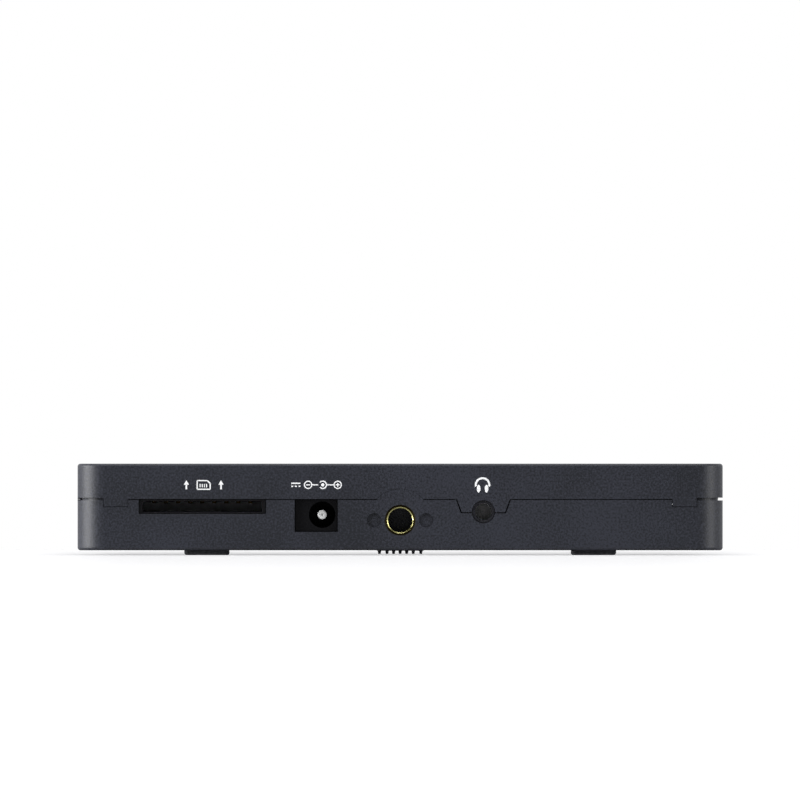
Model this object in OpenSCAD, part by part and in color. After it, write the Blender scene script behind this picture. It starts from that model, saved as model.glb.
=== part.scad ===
// Field monitor for a camera: a flat two-shell case with the screen facing up, ports along the
// lower edge, a power button and a menu dial along the upper edge, and a battery bay in the rear.
// X runs across the screen, +Y points to the upper edge and +Z to the viewer. The origin is the
// centre of the case on the plane that the feet stand on. Heights named *_up are above the rear face.

/* [Case] */
// Width of the case, from side to side
case_w = 134; // [131:0.5:142]
// Height of the case, from the lower edge to the upper edge
case_h = 84; // [82:0.5:92]
// Depth of the rear cover, from its rear face to the seam
rear_depth = 10.65; // [10.4:0.05:11.4]
// Depth of the front frame, from the seam to its front face
front_depth = 7.35; // [7.2:0.05:8]
// Radius of the four upright corners
corner_r = 5.5; // [4.5:0.1:6.5]
// Rounding of the outer rims of both shells
rim_r = 0.6; // [0.3:0.05:0.9]
// Wall of the rear cover
rear_wall = 1.8; // [1.6:0.05:2]
// Floor of the rear cover
floor_t = 1.6; // [1.2:0.05:2]
// Wall of the front frame
frame_wall = 2.8; // [2.6:0.05:3]
// Web of the front frame, behind the screen
web_t = 1; // [0.8:0.05:1.2]

/* [Seam] */
// Gap between the shells along the seam
seam_gap = 0.2; // [0.1:0.02:0.26]
// Thickness of the locating lip inside the seam
lip_t = 0.8; // [0.6:0.05:0.9]
// Height of the locating lip
lip_h = 1; // [0.6:0.05:1.2]
// Height of the groove round the sides at the seam
groove_h = 0.56; // [0.4:0.02:0.7]
// Depth of the groove round the sides
groove_deep = 0.95; // [0.6:0.05:0.98]
// Sideways lean of a seam tab's flanks, for each millimetre of its height
tab_lean = 0.36; // [0.2:0.02:0.5]
// Radius of the arcs where the seam passes the sockets
arc_r = 6.5; // [6.1:0.05:6.8]
// Distance of the square seam tabs' middles from the sides of the case
corner_tab_in = 7.9; // [7.6:0.1:9]
// Width of the square seam tabs
corner_tab_w = 5; // [4:0.1:5.6]
// Height of the square seam tabs
corner_tab_h = 1.55; // [1.2:0.05:1.8]
// Thickness of the square tabs near the corners, which lap over the rear cover's wall
corner_tab_t = 0.8; // [0.6:0.05:0.85]
// Gap round the square tabs
corner_gap = 0.12; // [0.1:0.01:0.2]
// Gap over the round tongues and over the wall at the video sockets
arc_gap = 0.05; // [0.04:0.01:0.1]

/* [Screen] */
// Thickness of the cover glass
glass_t = 1.1; // [0.7:0.05:1.3]
// Depth of the glass below the front rim
glass_sunk = 0.3; // [0.1:0.05:0.5]
// Width of the front rim round the glass
rim_w = 1; // [0.8:0.05:1.4]
// Distance of the panel from the sides of the case
panel_side = 4.3; // [4:0.1:6]
// Distance of the panel from the upper and lower edges of the case
panel_end = 5; // [4.7:0.1:7]
// Thickness of the panel's glass cell
cell_t = 1.2; // [0.9:0.05:1.4]
// Thickness of the backlight
backlight_t = 1.3; // [1:0.05:1.4]
// Thickness of the mounting tapes
tape_t = 0.2; // [0.1:0.05:0.3]

/* [Board] */
// Thickness of the main board
board_t = 1.2; // [1:0.05:1.4]
// Height of the bosses that carry the board
board_boss_h = 0.7; // [0.6:0.05:0.9]
// Distance of the board screws from the sides of the case
board_screw_in = 7.5; // [6.6:0.1:8.4]
// Distance of the upper board screws from the upper edge
board_screw_top_in = 16; // [14:0.5:18]
// Distance of the lower board screws from the lower edge
board_screw_low_in = 18; // [16.5:0.5:20]
// Side of the processor
chip_w = 15; // [12:0.5:18]
// Thickness of the processor
chip_t = 1.4; // [1:0.1:1.6]
// Thickness of the thermal pad
pad_t = 1; // [0.5:0.1:1.2]
// Width of the heat spreader
spreader_w = 44; // [36:0.5:46]
// Height of the heat spreader
spreader_h = 34; // [30:0.5:36]
// Thickness of the heat spreader's sheet
spreader_t = 1; // [0.6:0.1:1.2]

/* [Screws] */
// Thread radius of all screws
screw_r = 1; // [0.8:0.05:1.1]
// Head radius of the case screws
case_head_r = 1.9; // [1.7:0.05:2]
// Depth of the case screws' seats below the rear face
case_seat = 3; // [2.6:0.1:3.6]
// Distance of the case screws from the sides of the case
case_screw_in = 6.2; // [6:0.1:6.6]
// Head height of the screws
screw_head_h = 1.2; // [1:0.05:1.3]

/* [Sockets] */
// Height of the socket centres above the rear face
socket_up = 6.25; // [6:0.05:6.4]
// Radius of the sockets' threaded bore
socket_bore_r = 2.55; // [2.4:0.01:2.6]
// Radius of the holes in the case over the sockets
socket_hole_r = 3.2; // [3.18:0.01:3.4]
// Radius of the threaded inserts
insert_r = 4; // [3.7:0.05:4.1]
// Length of the threaded inserts
insert_len = 6.5; // [5.5:0.1:7]
// Depth of the inserts' countersunk mouths, which lead the thread in
lead_in = 0.64; // [0.5:0.02:0.66]
// Wall of the case over the inserts
socket_wall = 1.3; // [1.2:0.05:1.5]
// Distance of the locating recesses from the socket
locate_x = 5.4; // [5.2:0.05:5.6]
// Radius of the locating recesses
locate_r = 1.5; // [1.3:0.05:1.6]
// Depth of the locating recesses
locate_deep = 0.45; // [0.3:0.05:0.8]

/* [Power button] */
// Distance of the button's middle from the left side
button_in = 17.45; // [16.5:0.05:19]
// Height of the button's centre above the rear face
button_up = 6.61; // [6.4:0.01:6.7]
// Width of the button's opening
button_w = 8.06; // [7:0.02:8.6]
// Height of the button's opening
button_h = 4.72; // [4:0.02:4.9]
// Corner radius of the button's opening
button_r = 0.9; // [0.7:0.05:1.2]
// Gap round the button
button_gap = 0.28; // [0.15:0.01:0.35]
// How far the button stands out of the case
button_proud = 0.2; // [0:0.05:0.4]
// Half the width of the seam tab's tip over the button
button_tab = 5.95; // [5.6:0.05:6.2]
// Lower edge of the seam tabs over the button and the dial, above the rear face
tab_up = 6.5; // [6.3:0.02:6.7]
// Radius of the switch plunger
plunger_r = 1.5; // [1.2:0.05:1.7]

/* [Menu dial] */
// Distance of the dial's middle from the right side
dial_in = 29.85; // [29:0.05:31]
// Height of the dial's centre above the rear face
dial_up = 6.72; // [6.6:0.01:6.8]
// Radius of the dial
dial_r = 6.4; // [6:0.05:6.6]
// Thickness of the dial
dial_t = 3.5; // [3:0.05:3.6]
// How far the dial stands out of the case
dial_proud = 0.8; // [0.4:0.05:1]
// Number of grooves round the dial
dial_grooves = 18; // [14:1:22]
// Radius of the dial's grooves
dial_groove_r = 0.42; // [0.3:0.02:0.5]
// Width of the dial's slot in the case
slot_w = 15.55; // [15.2:0.05:16.2]
// Height of the dial's slot in the case
slot_h = 4.2; // [4.1:0.02:4.4]
// Corner radius of the dial's slot
slot_r = 0.8; // [0.5:0.05:1]
// Half the width of the seam tab's tip over the dial
dial_tab = 11.15; // [10.8:0.05:11.4]
// Radius of the dial's axle
axle_r = 1; // [0.8:0.05:1.2]
// Half the width of the fork that holds the dial
fork_half = 3.2; // [2.8:0.05:3.4]
// Thickness of the fork's arms
fork_t = 0.8; // [0.6:0.05:0.9]

/* [Ports] */
// Distance of the card slot's opening from the left side
card_in = 12.67; // [12.4:0.01:13]
// Width of the card slot's opening
card_w = 26.46; // [26:0.02:26.8]
// Height of the card slot's opening, down from the board
card_down = 3.42; // [3.3:0.02:3.6]
// Width of the card itself, with play
card_mouth = 24.8; // [24.4:0.05:25]
// Depth of the card slot's body
card_deep = 27; // [25:0.5:29]
// Distance between the openings of the card slot and the power inlet
inlet_apart = 5.94; // [5.7:0.01:6.2]
// Width of the power inlet's opening
inlet_w = 8.96; // [8.9:0.02:9.2]
// Distance of the inlet's bore from the right end of its opening
inlet_bore_in = 3.23; // [3.1:0.01:3.5]
// Radius of the inlet's bore
inlet_bore_r = 2.75; // [2.7:0.01:2.8]
// Radius of the inlet's pin
inlet_pin_r = 1.02; // [0.9:0.01:1.1]
// Height of the inlet's opening, down from the board
inlet_down = 7.18; // [7.1:0.02:7.4]
// Place of the headphone jack, sideways
phones_x = 17.3; // [16.8:0.05:17.8]
// Distance of the headphone jack's centre from the board
phones_down = 3; // [2.9:0.05:3.1]
// Radius of the hole in the case for the headphone jack
phones_hole_r = 2.4; // [2.35:0.01:2.5]
// Radius of the headphone jack's bore
phones_bore_r = 1.8; // [1.75:0.01:1.9]
// Half the width of the seam tab's tip over the headphone jack
phones_tab = 4.5; // [4.2:0.05:4.8]
// Lower edge of the seam tab over the headphone jack, above the rear face
phones_tab_up = 7.9; // [7.7:0.02:8.1]
// Place of the upper video socket on the left side
video_top = 12; // [11.5:0.1:13]
// Place of the lower video socket on the left side
video_low = -10; // [-10.5:0.1:-8]
// Width of the video sockets' shells
video_w = 15; // [14.8:0.05:15.4]
// Height of the video sockets' shells
video_h = 5.7; // [5.6:0.05:5.8]
// Depth of the video sockets
video_deep = 11.6; // [10.5:0.1:12]

/* [Battery bay] */
// Width of the bay
bay_w = 79.5; // [78.6:0.1:81]
// Height of the bay
bay_h = 39.6; // [39:0.1:40.4]
// Depth of the bay
bay_deep = 4.4; // [4.3:0.05:4.5]
// Distance between the bay and the latch's ribbed button
bay_apart = 3.6; // [3.5:0.05:3.8]
// Thickness of the bay's walls and floor
bay_wall = 1.4; // [1.2:0.05:1.5]
// Length of the battery, which the contact block stops
pack_len = 71; // [70.8:0.1:71.6]
// How far the rails' hooks reach into the bay
hook_in = 1.1; // [0.8:0.05:1.3]
// Length of a hook
hook_len = 8; // [6:0.5:10]
// Thickness of a hook
hook_t = 1.2; // [1:0.05:1.3]
// Distance of the hooks from the middle
hook_x = 22; // [18:0.5:24]
// Distance between battery terminals
terminal_pitch = 4; // [3.6:0.1:4.4]

/* [Latch] */
// Width of the ribbed button
latch_w = 9.8; // [9.2:0.05:10.2]
// Length of the ribbed button
latch_len = 11; // [10:0.1:11.4]
// Distance of the ribbed button from the upper edge
latch_in = 10.6; // [10.45:0.05:10.7]
// Travel of the latch when it is pressed
latch_travel = 1.5; // [1.2:0.05:1.6]
// Distance between the ribs
rib_pitch = 1.36; // [1.2:0.01:1.4]
// Height of the ribs above the rear face
rib_up = 0.75; // [0.5:0.05:0.9]
// Thickness of the latch's arm
arm_t = 1.2; // [1:0.05:1.3]
// Radius of the latch springs
spring_r = 1.5; // [1.3:0.05:1.6]

/* [Feet] */
// Height of the feet under the rear face
foot_h = 1; // [0.95:0.05:1.4]
// Width of a foot
foot_w = 9.4; // [8:0.1:9.6]
// Length of a foot
foot_len = 9; // [7:0.1:9.4]
// Depth to which the feet are set into the case
foot_sunk = 0.5; // [0.3:0.05:0.7]
// Distance of the feet from the middle, sideways
foot_x = 40.15; // [39.5:0.05:41]
// Distance of the upper feet's middles from the upper edge
foot_top_in = 15; // [14:0.1:17]
// Distance of the lower feet's middles from the lower edge
foot_low_in = 11.5; // [11:0.1:12]

/* [Hidden] */
$fn = 64;
case_colour = "#34363b";
dark_colour = "#16171a";
metal_colour = "#c8cbd0";
brass_colour = "#c9a227";
// Play between pieces that fit each other and stay put
fit = 0.1;
// Play between a screw or pin and the thread or hole that grips it
grip = 0.02;
// Running play of a shaft in its bore
run = 0.05;
// Play between pieces that slide past each other
slide = 0.15;
// Extra length of a cut past the face that it opens
cut = 1;

rear_z = foot_h;
seam_z = rear_z + rear_depth;
front_z = seam_z + front_depth;
half_w = case_w / 2;
half_h = case_h / 2;
inner_half_h = half_h - rear_wall;

glass_top = front_z - glass_sunk;
glass_low = glass_top - glass_t;
cell_low = glass_low - cell_t;
backlight_low = cell_low - backlight_t;
web_top = backlight_low - tape_t;
web_low = web_top - web_t;
board_front = web_low - board_boss_h;
board_z = board_front - board_t;
panel_w = case_w - 2 * panel_side;
panel_h = case_h - 2 * panel_end;
tray_gap = 0.6;
tray_w = panel_w + 2 * tray_gap;
tray_h = panel_h + 2 * tray_gap;
shelf_z = glass_low - tape_t;

board_play = 0.4;

corner_tab_x = half_w - corner_tab_in;
board_screw_x = half_w - board_screw_in;
board_screw_ys = [board_screw_low_in - half_h, half_h - board_screw_top_in];
post_r = 2.6;
post_x = half_w - case_screw_in;
post_y = half_h - case_screw_in;
board_boss_r = 2.2;
// Screws end in the middle of the web
mid_web = web_low + web_t / 2;

socket_z = rear_z + socket_up;
button_x = button_in - half_w;
button_z = rear_z + button_up;
tab_low = rear_z + tab_up;
dial_x = half_w - dial_in;
dial_z = rear_z + dial_up;
dial_y = half_h + dial_proud - dial_r;
card_left = card_in - half_w;
inlet_left = card_left + card_w + inlet_apart;
inlet_x = inlet_left + inlet_w - inlet_bore_in;
inlet_low = board_z - inlet_down;
inlet_z = (inlet_low + board_z) / 2;
phones_z = board_z - phones_down;
phones_tab_low = rear_z + phones_tab_up;
card_low = board_z - card_down;
card_x = card_left + card_w / 2;
video_low_z = board_z - video_h;
video_z = board_z - video_h / 2;
video_ys = [video_low, video_top];
// Ends of the side groove at the video sockets
video_rim = 3;
video_rim_low = video_low - video_w / 2 - video_rim;
video_rim_top = video_top + video_w / 2 + video_rim;

latch_y = half_h - latch_in - latch_len / 2;
bay_y = latch_y - latch_len / 2 - bay_apart - bay_h / 2;
bay_floor_z = rear_z + bay_deep;
bay_inner_z = bay_floor_z + bay_wall;
bay_top = bay_y + bay_h / 2;
bay_low = bay_y - bay_h / 2;
bay_end = bay_w / 2;
block_t = (bay_w - pack_len) / 2;

button_face = half_h + button_proud;
foot_corner = 1;
foot_rim = 0.5;

flange_back = 0.85;
flange_out = 0.8;
flange_y = inner_half_h - slide - flange_back;
stem_len = 3.7;
plunger_in = 1.4;
plunger_out = 0.9;
switch_front = flange_y - stem_len;
plunger_tip = switch_front - plunger_in;
plunger_root = switch_front + plunger_out;
switch_len = 4.2;
// Room behind a plunger or pin, so that it never reaches the bottom of its hole
press_room = 0.8;

arm_low = bay_inner_z + 0.3;
arm_top = arm_low + arm_t;
tooth_in = 6.8;
tooth_y = bay_top - tooth_in;
tooth_w = 6;
tooth_len = 4;
tooth_play = 0.3;
seat_gap = 0.4;
bracket_z = arm_top + latch_travel + seat_gap;
bracket_t = 0.6;
bracket_post_x = 10.5;
bracket_post_r = 2;
bracket_screw_len = 4.5;
pan_head_r = 1.8;
spring_x = 2.5;
spring_floor = rear_z + 1.4;
spring_wall = 0.45;
spring_play = 0.2;

// Rectangle with round corners, centred
module round_rect(w, h, r) {
    translate([r - w / 2, -h / 2]) square([w - 2 * r, h]);
    translate([-w / 2, r - h / 2]) square([w, h - 2 * r]);
    for (sx = [-1, 1])
        for (sy = [-1, 1])
            translate([sx * (w / 2 - r), sy * (h / 2 - r)]) circle(r = r);
}

// Upright plate with round corners, from z0 to z1
module plate(w, h, r, z0, z1) {
    translate([0, 0, z0]) linear_extrude(z1 - z0) round_rect(w, h, r);
}

// Plate that leaves a wall of the given thickness inside the case's outline, from z0 to z1
module wall_plate(inset, z0, z1) {
    plate(case_w - 2 * inset, case_h - 2 * inset, corner_r - inset, z0, z1);
}

// Flat ring between two round-cornered rectangles, from z0 to z1
module ring(w, h, r, in_w, in_h, in_r, z0, z1) {
    translate([0, 0, z0])
        linear_extrude(z1 - z0)
            difference() {
                round_rect(w, h, r);
                round_rect(in_w, in_h, in_r);
            }
}

// Half-section of a slab whose lower outer edge is rounded
module rim_section(reach, rim, t) {
    steps = 6;
    arc = [for (i = [0:steps]) let (a = 90 * i / steps) [reach - rim * (1 - sin(a)), rim * (1 - cos(a))]];
    polygon(concat([[0, 0]], arc, [[reach, t], [0, t]]));
}

// Slab with round corners and a rounded lower rim, standing on z = 0
module rim_block(w, h, r, rim, t) {
    translate([r - w / 2, r - h / 2, 0]) cube([w - 2 * r, h - 2 * r, t]);
    for (k = [0:3]) {
        along = (k % 2 == 0 ? w : h) / 2 - r;
        across = (k % 2 == 0 ? h : w) / 2 - r;
        rotate(90 * k) {
            translate([-along, across, 0])
                rotate([90, 0, 90])
                    linear_extrude(2 * along)
                        rim_section(r, rim, t);
            translate([along, across, 0])
                rotate_extrude(angle = 90)
                    rim_section(r, rim, t);
        }
    }
}

// Box between two opposite corners
module box(low, high) {
    translate(low) cube(high - low);
}

// Prism through the wall at the upper edge (side = 1) or lower edge (side = -1): its outline is
// drawn in X and Z, and it reaches from y0 to y1 outwards from the middle of the case
module edge_prism(side, y0, y1) {
    translate([0, side > 0 ? y1 : -y0, 0])
        rotate([90, 0, 0])
            linear_extrude(y1 - y0)
                children();
}

// Round bar along Y at the upper or lower edge, reaching from y0 to y1 outwards
module edge_bar(side, x, z, r, y0, y1) {
    translate([x, side > 0 ? y1 : -y0, z])
        rotate([90, 0, 0])
            cylinder(r = r, h = y1 - y0);
}

// Outline of a leaning seam tab that hangs from the seam down to low
module tab_outline(x, half, low, grow) {
    rise = seam_z + cut - low;
    polygon([
        [x - half - grow, low - grow],
        [x + half + grow, low - grow],
        [x + half + grow + tab_lean * (rise + grow), low + rise],
        [x - half - grow - tab_lean * (rise + grow), low + rise],
    ]);
}

// The leaning tabs of the front frame that hang into notches of the rear cover, grown by a gap for
// the notches
module seam_tabs(grow, inner, outer) {
    edge_prism(1, inner, outer) tab_outline(button_x, button_tab, tab_low, grow);
    edge_prism(1, inner, outer) tab_outline(dial_x, dial_tab, tab_low, grow);
    edge_prism(-1, inner, outer) tab_outline(phones_x, phones_tab, phones_tab_low, grow);
}

// The square tabs near the corners, grown by a gap for their notches
module corner_tabs(grow, inner, outer) {
    for (side = [-1, 1])
        for (sx = [-1, 1])
            edge_prism(side, inner, outer)
                translate([sx * corner_tab_x - corner_tab_w / 2 - grow, seam_z - corner_tab_h - grow])
                    square([corner_tab_w + 2 * grow, corner_tab_h + cut + grow]);
}

// Openings for the controls and ports that cross the seam, so both shells share them
module shared_openings() {
    edge_prism(1, half_h - frame_wall - cut, half_h + cut)
        translate([button_x, button_z])
            round_rect(button_w, button_h, button_r);
    edge_prism(1, half_h - frame_wall - cut, half_h + cut)
        translate([dial_x, dial_z])
            round_rect(slot_w, slot_h, slot_r);
    edge_bar(-1, phones_x, phones_z, phones_hole_r, half_h - frame_wall - cut, half_h + cut);
    for (y = video_ys)
        box([-half_w - cut, y - video_w / 2 - fit, video_low_z - fit],
            [cut - half_w + frame_wall, y + video_w / 2 + fit, board_z + fit]);
}

// Notches in the rear cover for the card slot and the power inlet, and the gaps in the lip over them
module port_notches() {
    box([card_left, -half_h - cut, card_low], [card_left + card_w, cut - half_h + rear_wall, seam_z]);
    box([inlet_left, -half_h - cut, inlet_low], [inlet_left + inlet_w, cut - half_h + rear_wall, seam_z]);
}

// Groove round both sides at the seam, which stops at the square tabs and at the video sockets
module side_groove() {
    wide = case_w + 2 * cut;
    reach = corner_tab_x + corner_tab_w / 2;
    difference() {
        ring(wide, case_h + 2 * cut, corner_r, case_w - 2 * groove_deep, case_h - 2 * groove_deep,
            corner_r - groove_deep, seam_z - groove_h / 2, seam_z + groove_h / 2);
        box([-reach, -case_h, 0], [reach, case_h, front_z]);
        box([-case_w, video_rim_low, 0], [0, video_rim_top, front_z]);
    }
}

module post_places() {
    for (sx = [-1, 1])
        for (sy = [-1, 1])
            translate([sx * post_x, sy * post_y, 0]) children();
}

module board_screw_places() {
    for (sx = [-1, 1])
        for (y = board_screw_ys)
            translate([sx * board_screw_x, y, 0]) children();
}

module foot_places() {
    for (sx = [-1, 1])
        for (y = [foot_low_in - half_h, half_h - foot_top_in])
            translate([sx * foot_x, y, 0]) children();
}

boss_half = insert_r + 2.2;
boss_end = 0.8;
boss_clear = 0.15;
rim_rise = 1;
boss_in = half_h - socket_wall - insert_len - boss_end;

module rear_cover() {
    top = seam_z - seam_gap;
    in_floor = rear_z + floor_t / 2;
    color(case_colour) {
        difference() {
            union() {
                difference() {
                    translate([0, 0, rear_z]) rim_block(case_w, case_h, corner_r, rim_r, top - rear_z);
                    wall_plate(rear_wall, rear_z + floor_t, seam_z);
                    // Rebate that takes the front frame's lip
                    wall_plate(rear_wall - lip_t - fit, seam_z - lip_h - fit, seam_z);
                }
                // Walls and floor of the battery bay
                box([-bay_end - bay_wall, bay_low - bay_wall, in_floor],
                    [bay_end + bay_wall, bay_top + bay_wall, bay_inner_z]);
                // Wall between the ends of the side groove, which closes the seam at the video sockets
                box([-half_w, video_rim_low, top - rim_rise], [-half_w + rear_wall - lip_t - fit,
                    video_rim_top, seam_z - arc_gap]);
                // Screw posts in the corners
                post_places() translate([0, 0, in_floor]) cylinder(r = post_r, h = seam_z - in_floor);
                // Posts for the latch bracket
                for (sx = [-1, 1])
                    translate([sx * bracket_post_x, latch_y, in_floor])
                        cylinder(r = bracket_post_r, h = bracket_z - in_floor);
                // Bosses round the threaded inserts, and the round tongues that rise over them
                for (side = [-1, 1]) {
                    edge_prism(side, boss_in, inner_half_h + rear_wall / 2)
                        translate([-boss_half, in_floor])
                            square([2 * boss_half, top - lip_h - in_floor]);
                    // Inside the front frame's wall the boss rises to just below the board
                    edge_prism(side, boss_in, half_h - frame_wall - fit)
                        translate([-boss_half, in_floor])
                            square([2 * boss_half, board_z - boss_clear - in_floor]);
                    intersection() {
                        edge_bar(side, 0, socket_z, arc_r, inner_half_h, half_h);
                        box([-arc_r, -case_h, socket_z], [arc_r, case_h, front_z]);
                    }
                }
            }
            box([-bay_end, bay_low, rear_z - cut], [bay_end, bay_top, bay_floor_z]);
            seam_tabs(seam_gap, inner_half_h - cut, half_h + cut);
            corner_tabs(corner_gap, half_h - corner_tab_t - fit, half_h + cut);
            shared_openings();
            port_notches();
            side_groove();
            for (side = [-1, 1]) {
                edge_bar(side, 0, socket_z, socket_hole_r, half_h - socket_wall - cut, half_h + cut);
                edge_bar(side, 0, socket_z, insert_r + grip, boss_in + boss_end, half_h - socket_wall);
                for (sx = [-1, 1])
                    edge_bar(side, sx * locate_x, socket_z, locate_r, half_h - locate_deep, half_h + cut);
            }
            post_places() {
                translate([0, 0, rear_z - cut]) cylinder(r = case_head_r + fit, h = case_seat + cut);
                cylinder(r = screw_r + fit, h = front_z);
            }
            for (sx = [-1, 1])
                translate([sx * bracket_post_x, latch_y, rear_z + floor_t])
                    cylinder(r = screw_r + grip, h = rear_depth);
            foot_places()
                plate(foot_w + 2 * fit, foot_len + 2 * fit, foot_corner + fit,
                    rear_z - cut, rear_z + foot_sunk);
            // Opening for the latch button, and the tooth's slot in the bay
            plate_at_latch(button_gap, rear_z - cut, rear_z + floor_t + cut);
            tooth(tooth_play, rear_z, bay_inner_z + cut);
            terminal_tails(fit, bay_floor_z - cut, bay_inner_z + cut);
        }
        rail_hooks();
    }
}

// Rounded block of the latch's button, grown sideways, from z0 to z1
module plate_at_latch(grow, z0, z1) {
    translate([0, latch_y, 0]) plate(latch_w + 2 * grow, latch_len + 2 * grow, 1, z0, z1);
}

// The latch's tooth, grown sideways, from z0 to z1
module tooth(grow, z0, z1) {
    box([-tooth_w / 2 - grow, tooth_y - tooth_len / 2 - grow, z0],
        [tooth_w / 2 + grow, tooth_y + tooth_len / 2 + grow, z1]);
}

// Hooks along the bay's long walls, which hold the battery's grooves
module rail_hooks() {
    bevel = 0.3;
    root = -bay_wall / 2;
    for (sx = [-1, 1])
        for (side = [-1, 1])
            translate([sx * hook_x, bay_y + side * bay_h / 2, rear_z])
                rotate([90, 0, side > 0 ? -90 : 90])
                    linear_extrude(hook_len, center = true)
                        polygon([[root, 0], [hook_in - bevel, 0], [hook_in, bevel],
                            [hook_in, hook_t - bevel], [hook_in - bevel, hook_t], [root, hook_t]]);
}

module front_frame() {
    lip_root = 0.4;
    color(case_colour)
        difference() {
            union() {
                difference() {
                    translate([0, 0, front_z])
                        mirror([0, 0, 1])
                            rim_block(case_w, case_h, corner_r, rim_r, front_depth);
                    wall_plate(frame_wall, seam_z - cut, web_low);
                    plate(tray_w, tray_h, 1, web_top, front_z + cut);
                    wall_plate(rim_w, shelf_z, front_z + cut);
                }
                // Lip that sits in the rear cover's rebate
                difference() {
                    wall_plate(rear_wall - lip_t, seam_z - lip_h, seam_z + lip_root);
                    wall_plate(rear_wall, seam_z - lip_h - cut, seam_z + lip_root + cut);
                }
                intersection() {
                    union() {
                        seam_tabs(0, inner_half_h, half_h);
                        corner_tabs(0, half_h - corner_tab_t, half_h);
                    }
                    wall_plate(0, 0, seam_z + lip_root);
                }
                // Bosses for the case screws and for the board
                post_places() translate([0, 0, seam_z]) cylinder(r = post_r, h = mid_web - seam_z);
                board_screw_places()
                    translate([0, 0, board_front])
                        cylinder(r = board_boss_r, h = mid_web - board_front);
            }
            shared_openings();
            port_notches();
            side_groove();
            for (side = [-1, 1])
                edge_bar(side, 0, socket_z, arc_r + arc_gap, inner_half_h - fit, half_h + cut);
            post_places() cylinder(r = screw_r + grip, h = mid_web + grip);
            board_screw_places() cylinder(r = screw_r + grip, h = mid_web + grip);
            // Slots in the web for the two flat cables
            flex_slot(-1, lcd_flex_x, lcd_flex_w);
            flex_slot(1, touch_flex_x, touch_flex_w);
        }
}

flex_t = 0.3;
lcd_flex_x = panel_w / 2 - 1.8;
lcd_flex_w = 18;
touch_flex_x = panel_w / 2 + flex_t / 2 + 0.1;
touch_flex_w = 12;
flex_run = 6;
flex_play = 0.45;

// Upright box beside the screen on one side (side = 1 or -1) of the case, from z0 to z1
module side_box(side, x0, x1, w, z0, z1) {
    box([min(side * x0, side * x1), -w / 2, z0], [max(side * x0, side * x1), w / 2, z1]);
}

module flex_slot(side, x, w) {
    half = flex_t / 2 + flex_play;
    side_box(side, x - half, x + half, w + 2 * flex_play, web_low - cut, web_top + cut);
}

// Flat cable that drops from the screen through the web and lies on the board
module flex(side, x, w, top) {
    side_box(side, x - flex_t / 2, x + flex_t / 2, w, board_front, top);
    side_box(side, x - flex_run, x, w, board_front, board_front + flex_t);
}

module lcd_flex() { color("#b8732a") flex(-1, lcd_flex_x, lcd_flex_w, backlight_low); }

module touch_flex() { color("#b8732a") flex(1, touch_flex_x, touch_flex_w, glass_low); }

module cover_glass() {
    color("#0b0c0e") wall_plate(rim_w + fit, glass_low, glass_top);
}

module glass_tape() {
    margin = 0.4;
    color("#202020")
        difference() {
            wall_plate(rim_w + margin, shelf_z, glass_low);
            plate(tray_w + 2 * margin, tray_h + 2 * margin, 1, shelf_z - cut, glass_low + cut);
        }
}

module lcd_panel() { color("#101418") plate(panel_w, panel_h, 0.6, cell_low, glass_low); }

module backlight() { color("#c9ccd0") plate(panel_w, panel_h, 0.6, backlight_low, cell_low); }

module lcd_tape() {
    tape_w = 1.2;
    color("#202020")
        ring(panel_w, panel_h, 0.6, panel_w - 2 * tape_w, panel_h - 2 * tape_w, 0.4, web_top, backlight_low);
}

module main_board() {
    notch = case_screw_in + post_r + 0.5;
    color("#12402a")
        difference() {
            wall_plate(frame_wall + board_play, board_z, board_front);
            for (sx = [-1, 1])
                for (sy = [-1, 1])
                    translate([sx * half_w, sy * half_h, board_z])
                        cube([2 * notch, 2 * notch, 3 * board_t], center = true);
            board_screw_places() cylinder(r = screw_r + fit, h = front_z);
        }
}

chip_in = 33;
chip_x = half_w - chip_in;
chip_y = bay_y + 2;

module processor() {
    color(dark_colour)
        translate([chip_x, chip_y, 0]) plate(chip_w, chip_w, 0.3, board_z - chip_t, board_z);
}

module memory_chips() {
    memory_w = 8;
    memory_h = 11;
    memory_t = 1;
    apart = 1;
    color(dark_colour)
        for (side = [-1, 1])
            translate([chip_x + side * (chip_w / 2 + memory_w / 2 + apart), chip_y, 0])
                plate(memory_w, memory_h, 0.2, board_z - memory_t, board_z);
}

module thermal_pad() {
    color("#8fa3b5")
        translate([chip_x, chip_y, 0]) plate(chip_w, chip_w, 0.3, board_z - chip_t - pad_t, board_z - chip_t);
}

// Sheet-metal plate over the processor, with a folded flange at each end that stands on the board
module heat_spreader() {
    low = board_z - chip_t - pad_t - spreader_t;
    color(metal_colour)
        translate([chip_x, chip_y, 0]) {
            plate(spreader_w, spreader_h, 1, low, low + spreader_t);
            for (side = [-1, 1])
                translate([side * (spreader_w / 2 - spreader_t / 2), 0, (low + board_z) / 2])
                    cube([spreader_t, spreader_h / 2, board_z - low], center = true);
        }
}

// Pan-head screw, head down, whose head rests against the face at z = 0
module screw(head_r, len) {
    translate([0, 0, -screw_head_h]) cylinder(r = head_r, h = screw_head_h);
    cylinder(r = screw_r, h = len);
}

module cross_recess(head_r) {
    recess_w = 0.45;
    recess_deep = 0.5;
    for (a = [0, 90])
        rotate(a)
            translate([0, 0, -screw_head_h])
                cube([1.3 * head_r, recess_w, 2 * recess_deep], center = true);
}

module case_screws() {
    color(dark_colour)
        post_places()
            translate([0, 0, rear_z + case_seat])
                difference() {
                    screw(case_head_r, mid_web - rear_z - case_seat);
                    cross_recess(case_head_r);
                }
}

module board_screws() {
    color(metal_colour)
        board_screw_places()
            translate([0, 0, board_z])
                screw(pan_head_r, mid_web - board_z);
}

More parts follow.
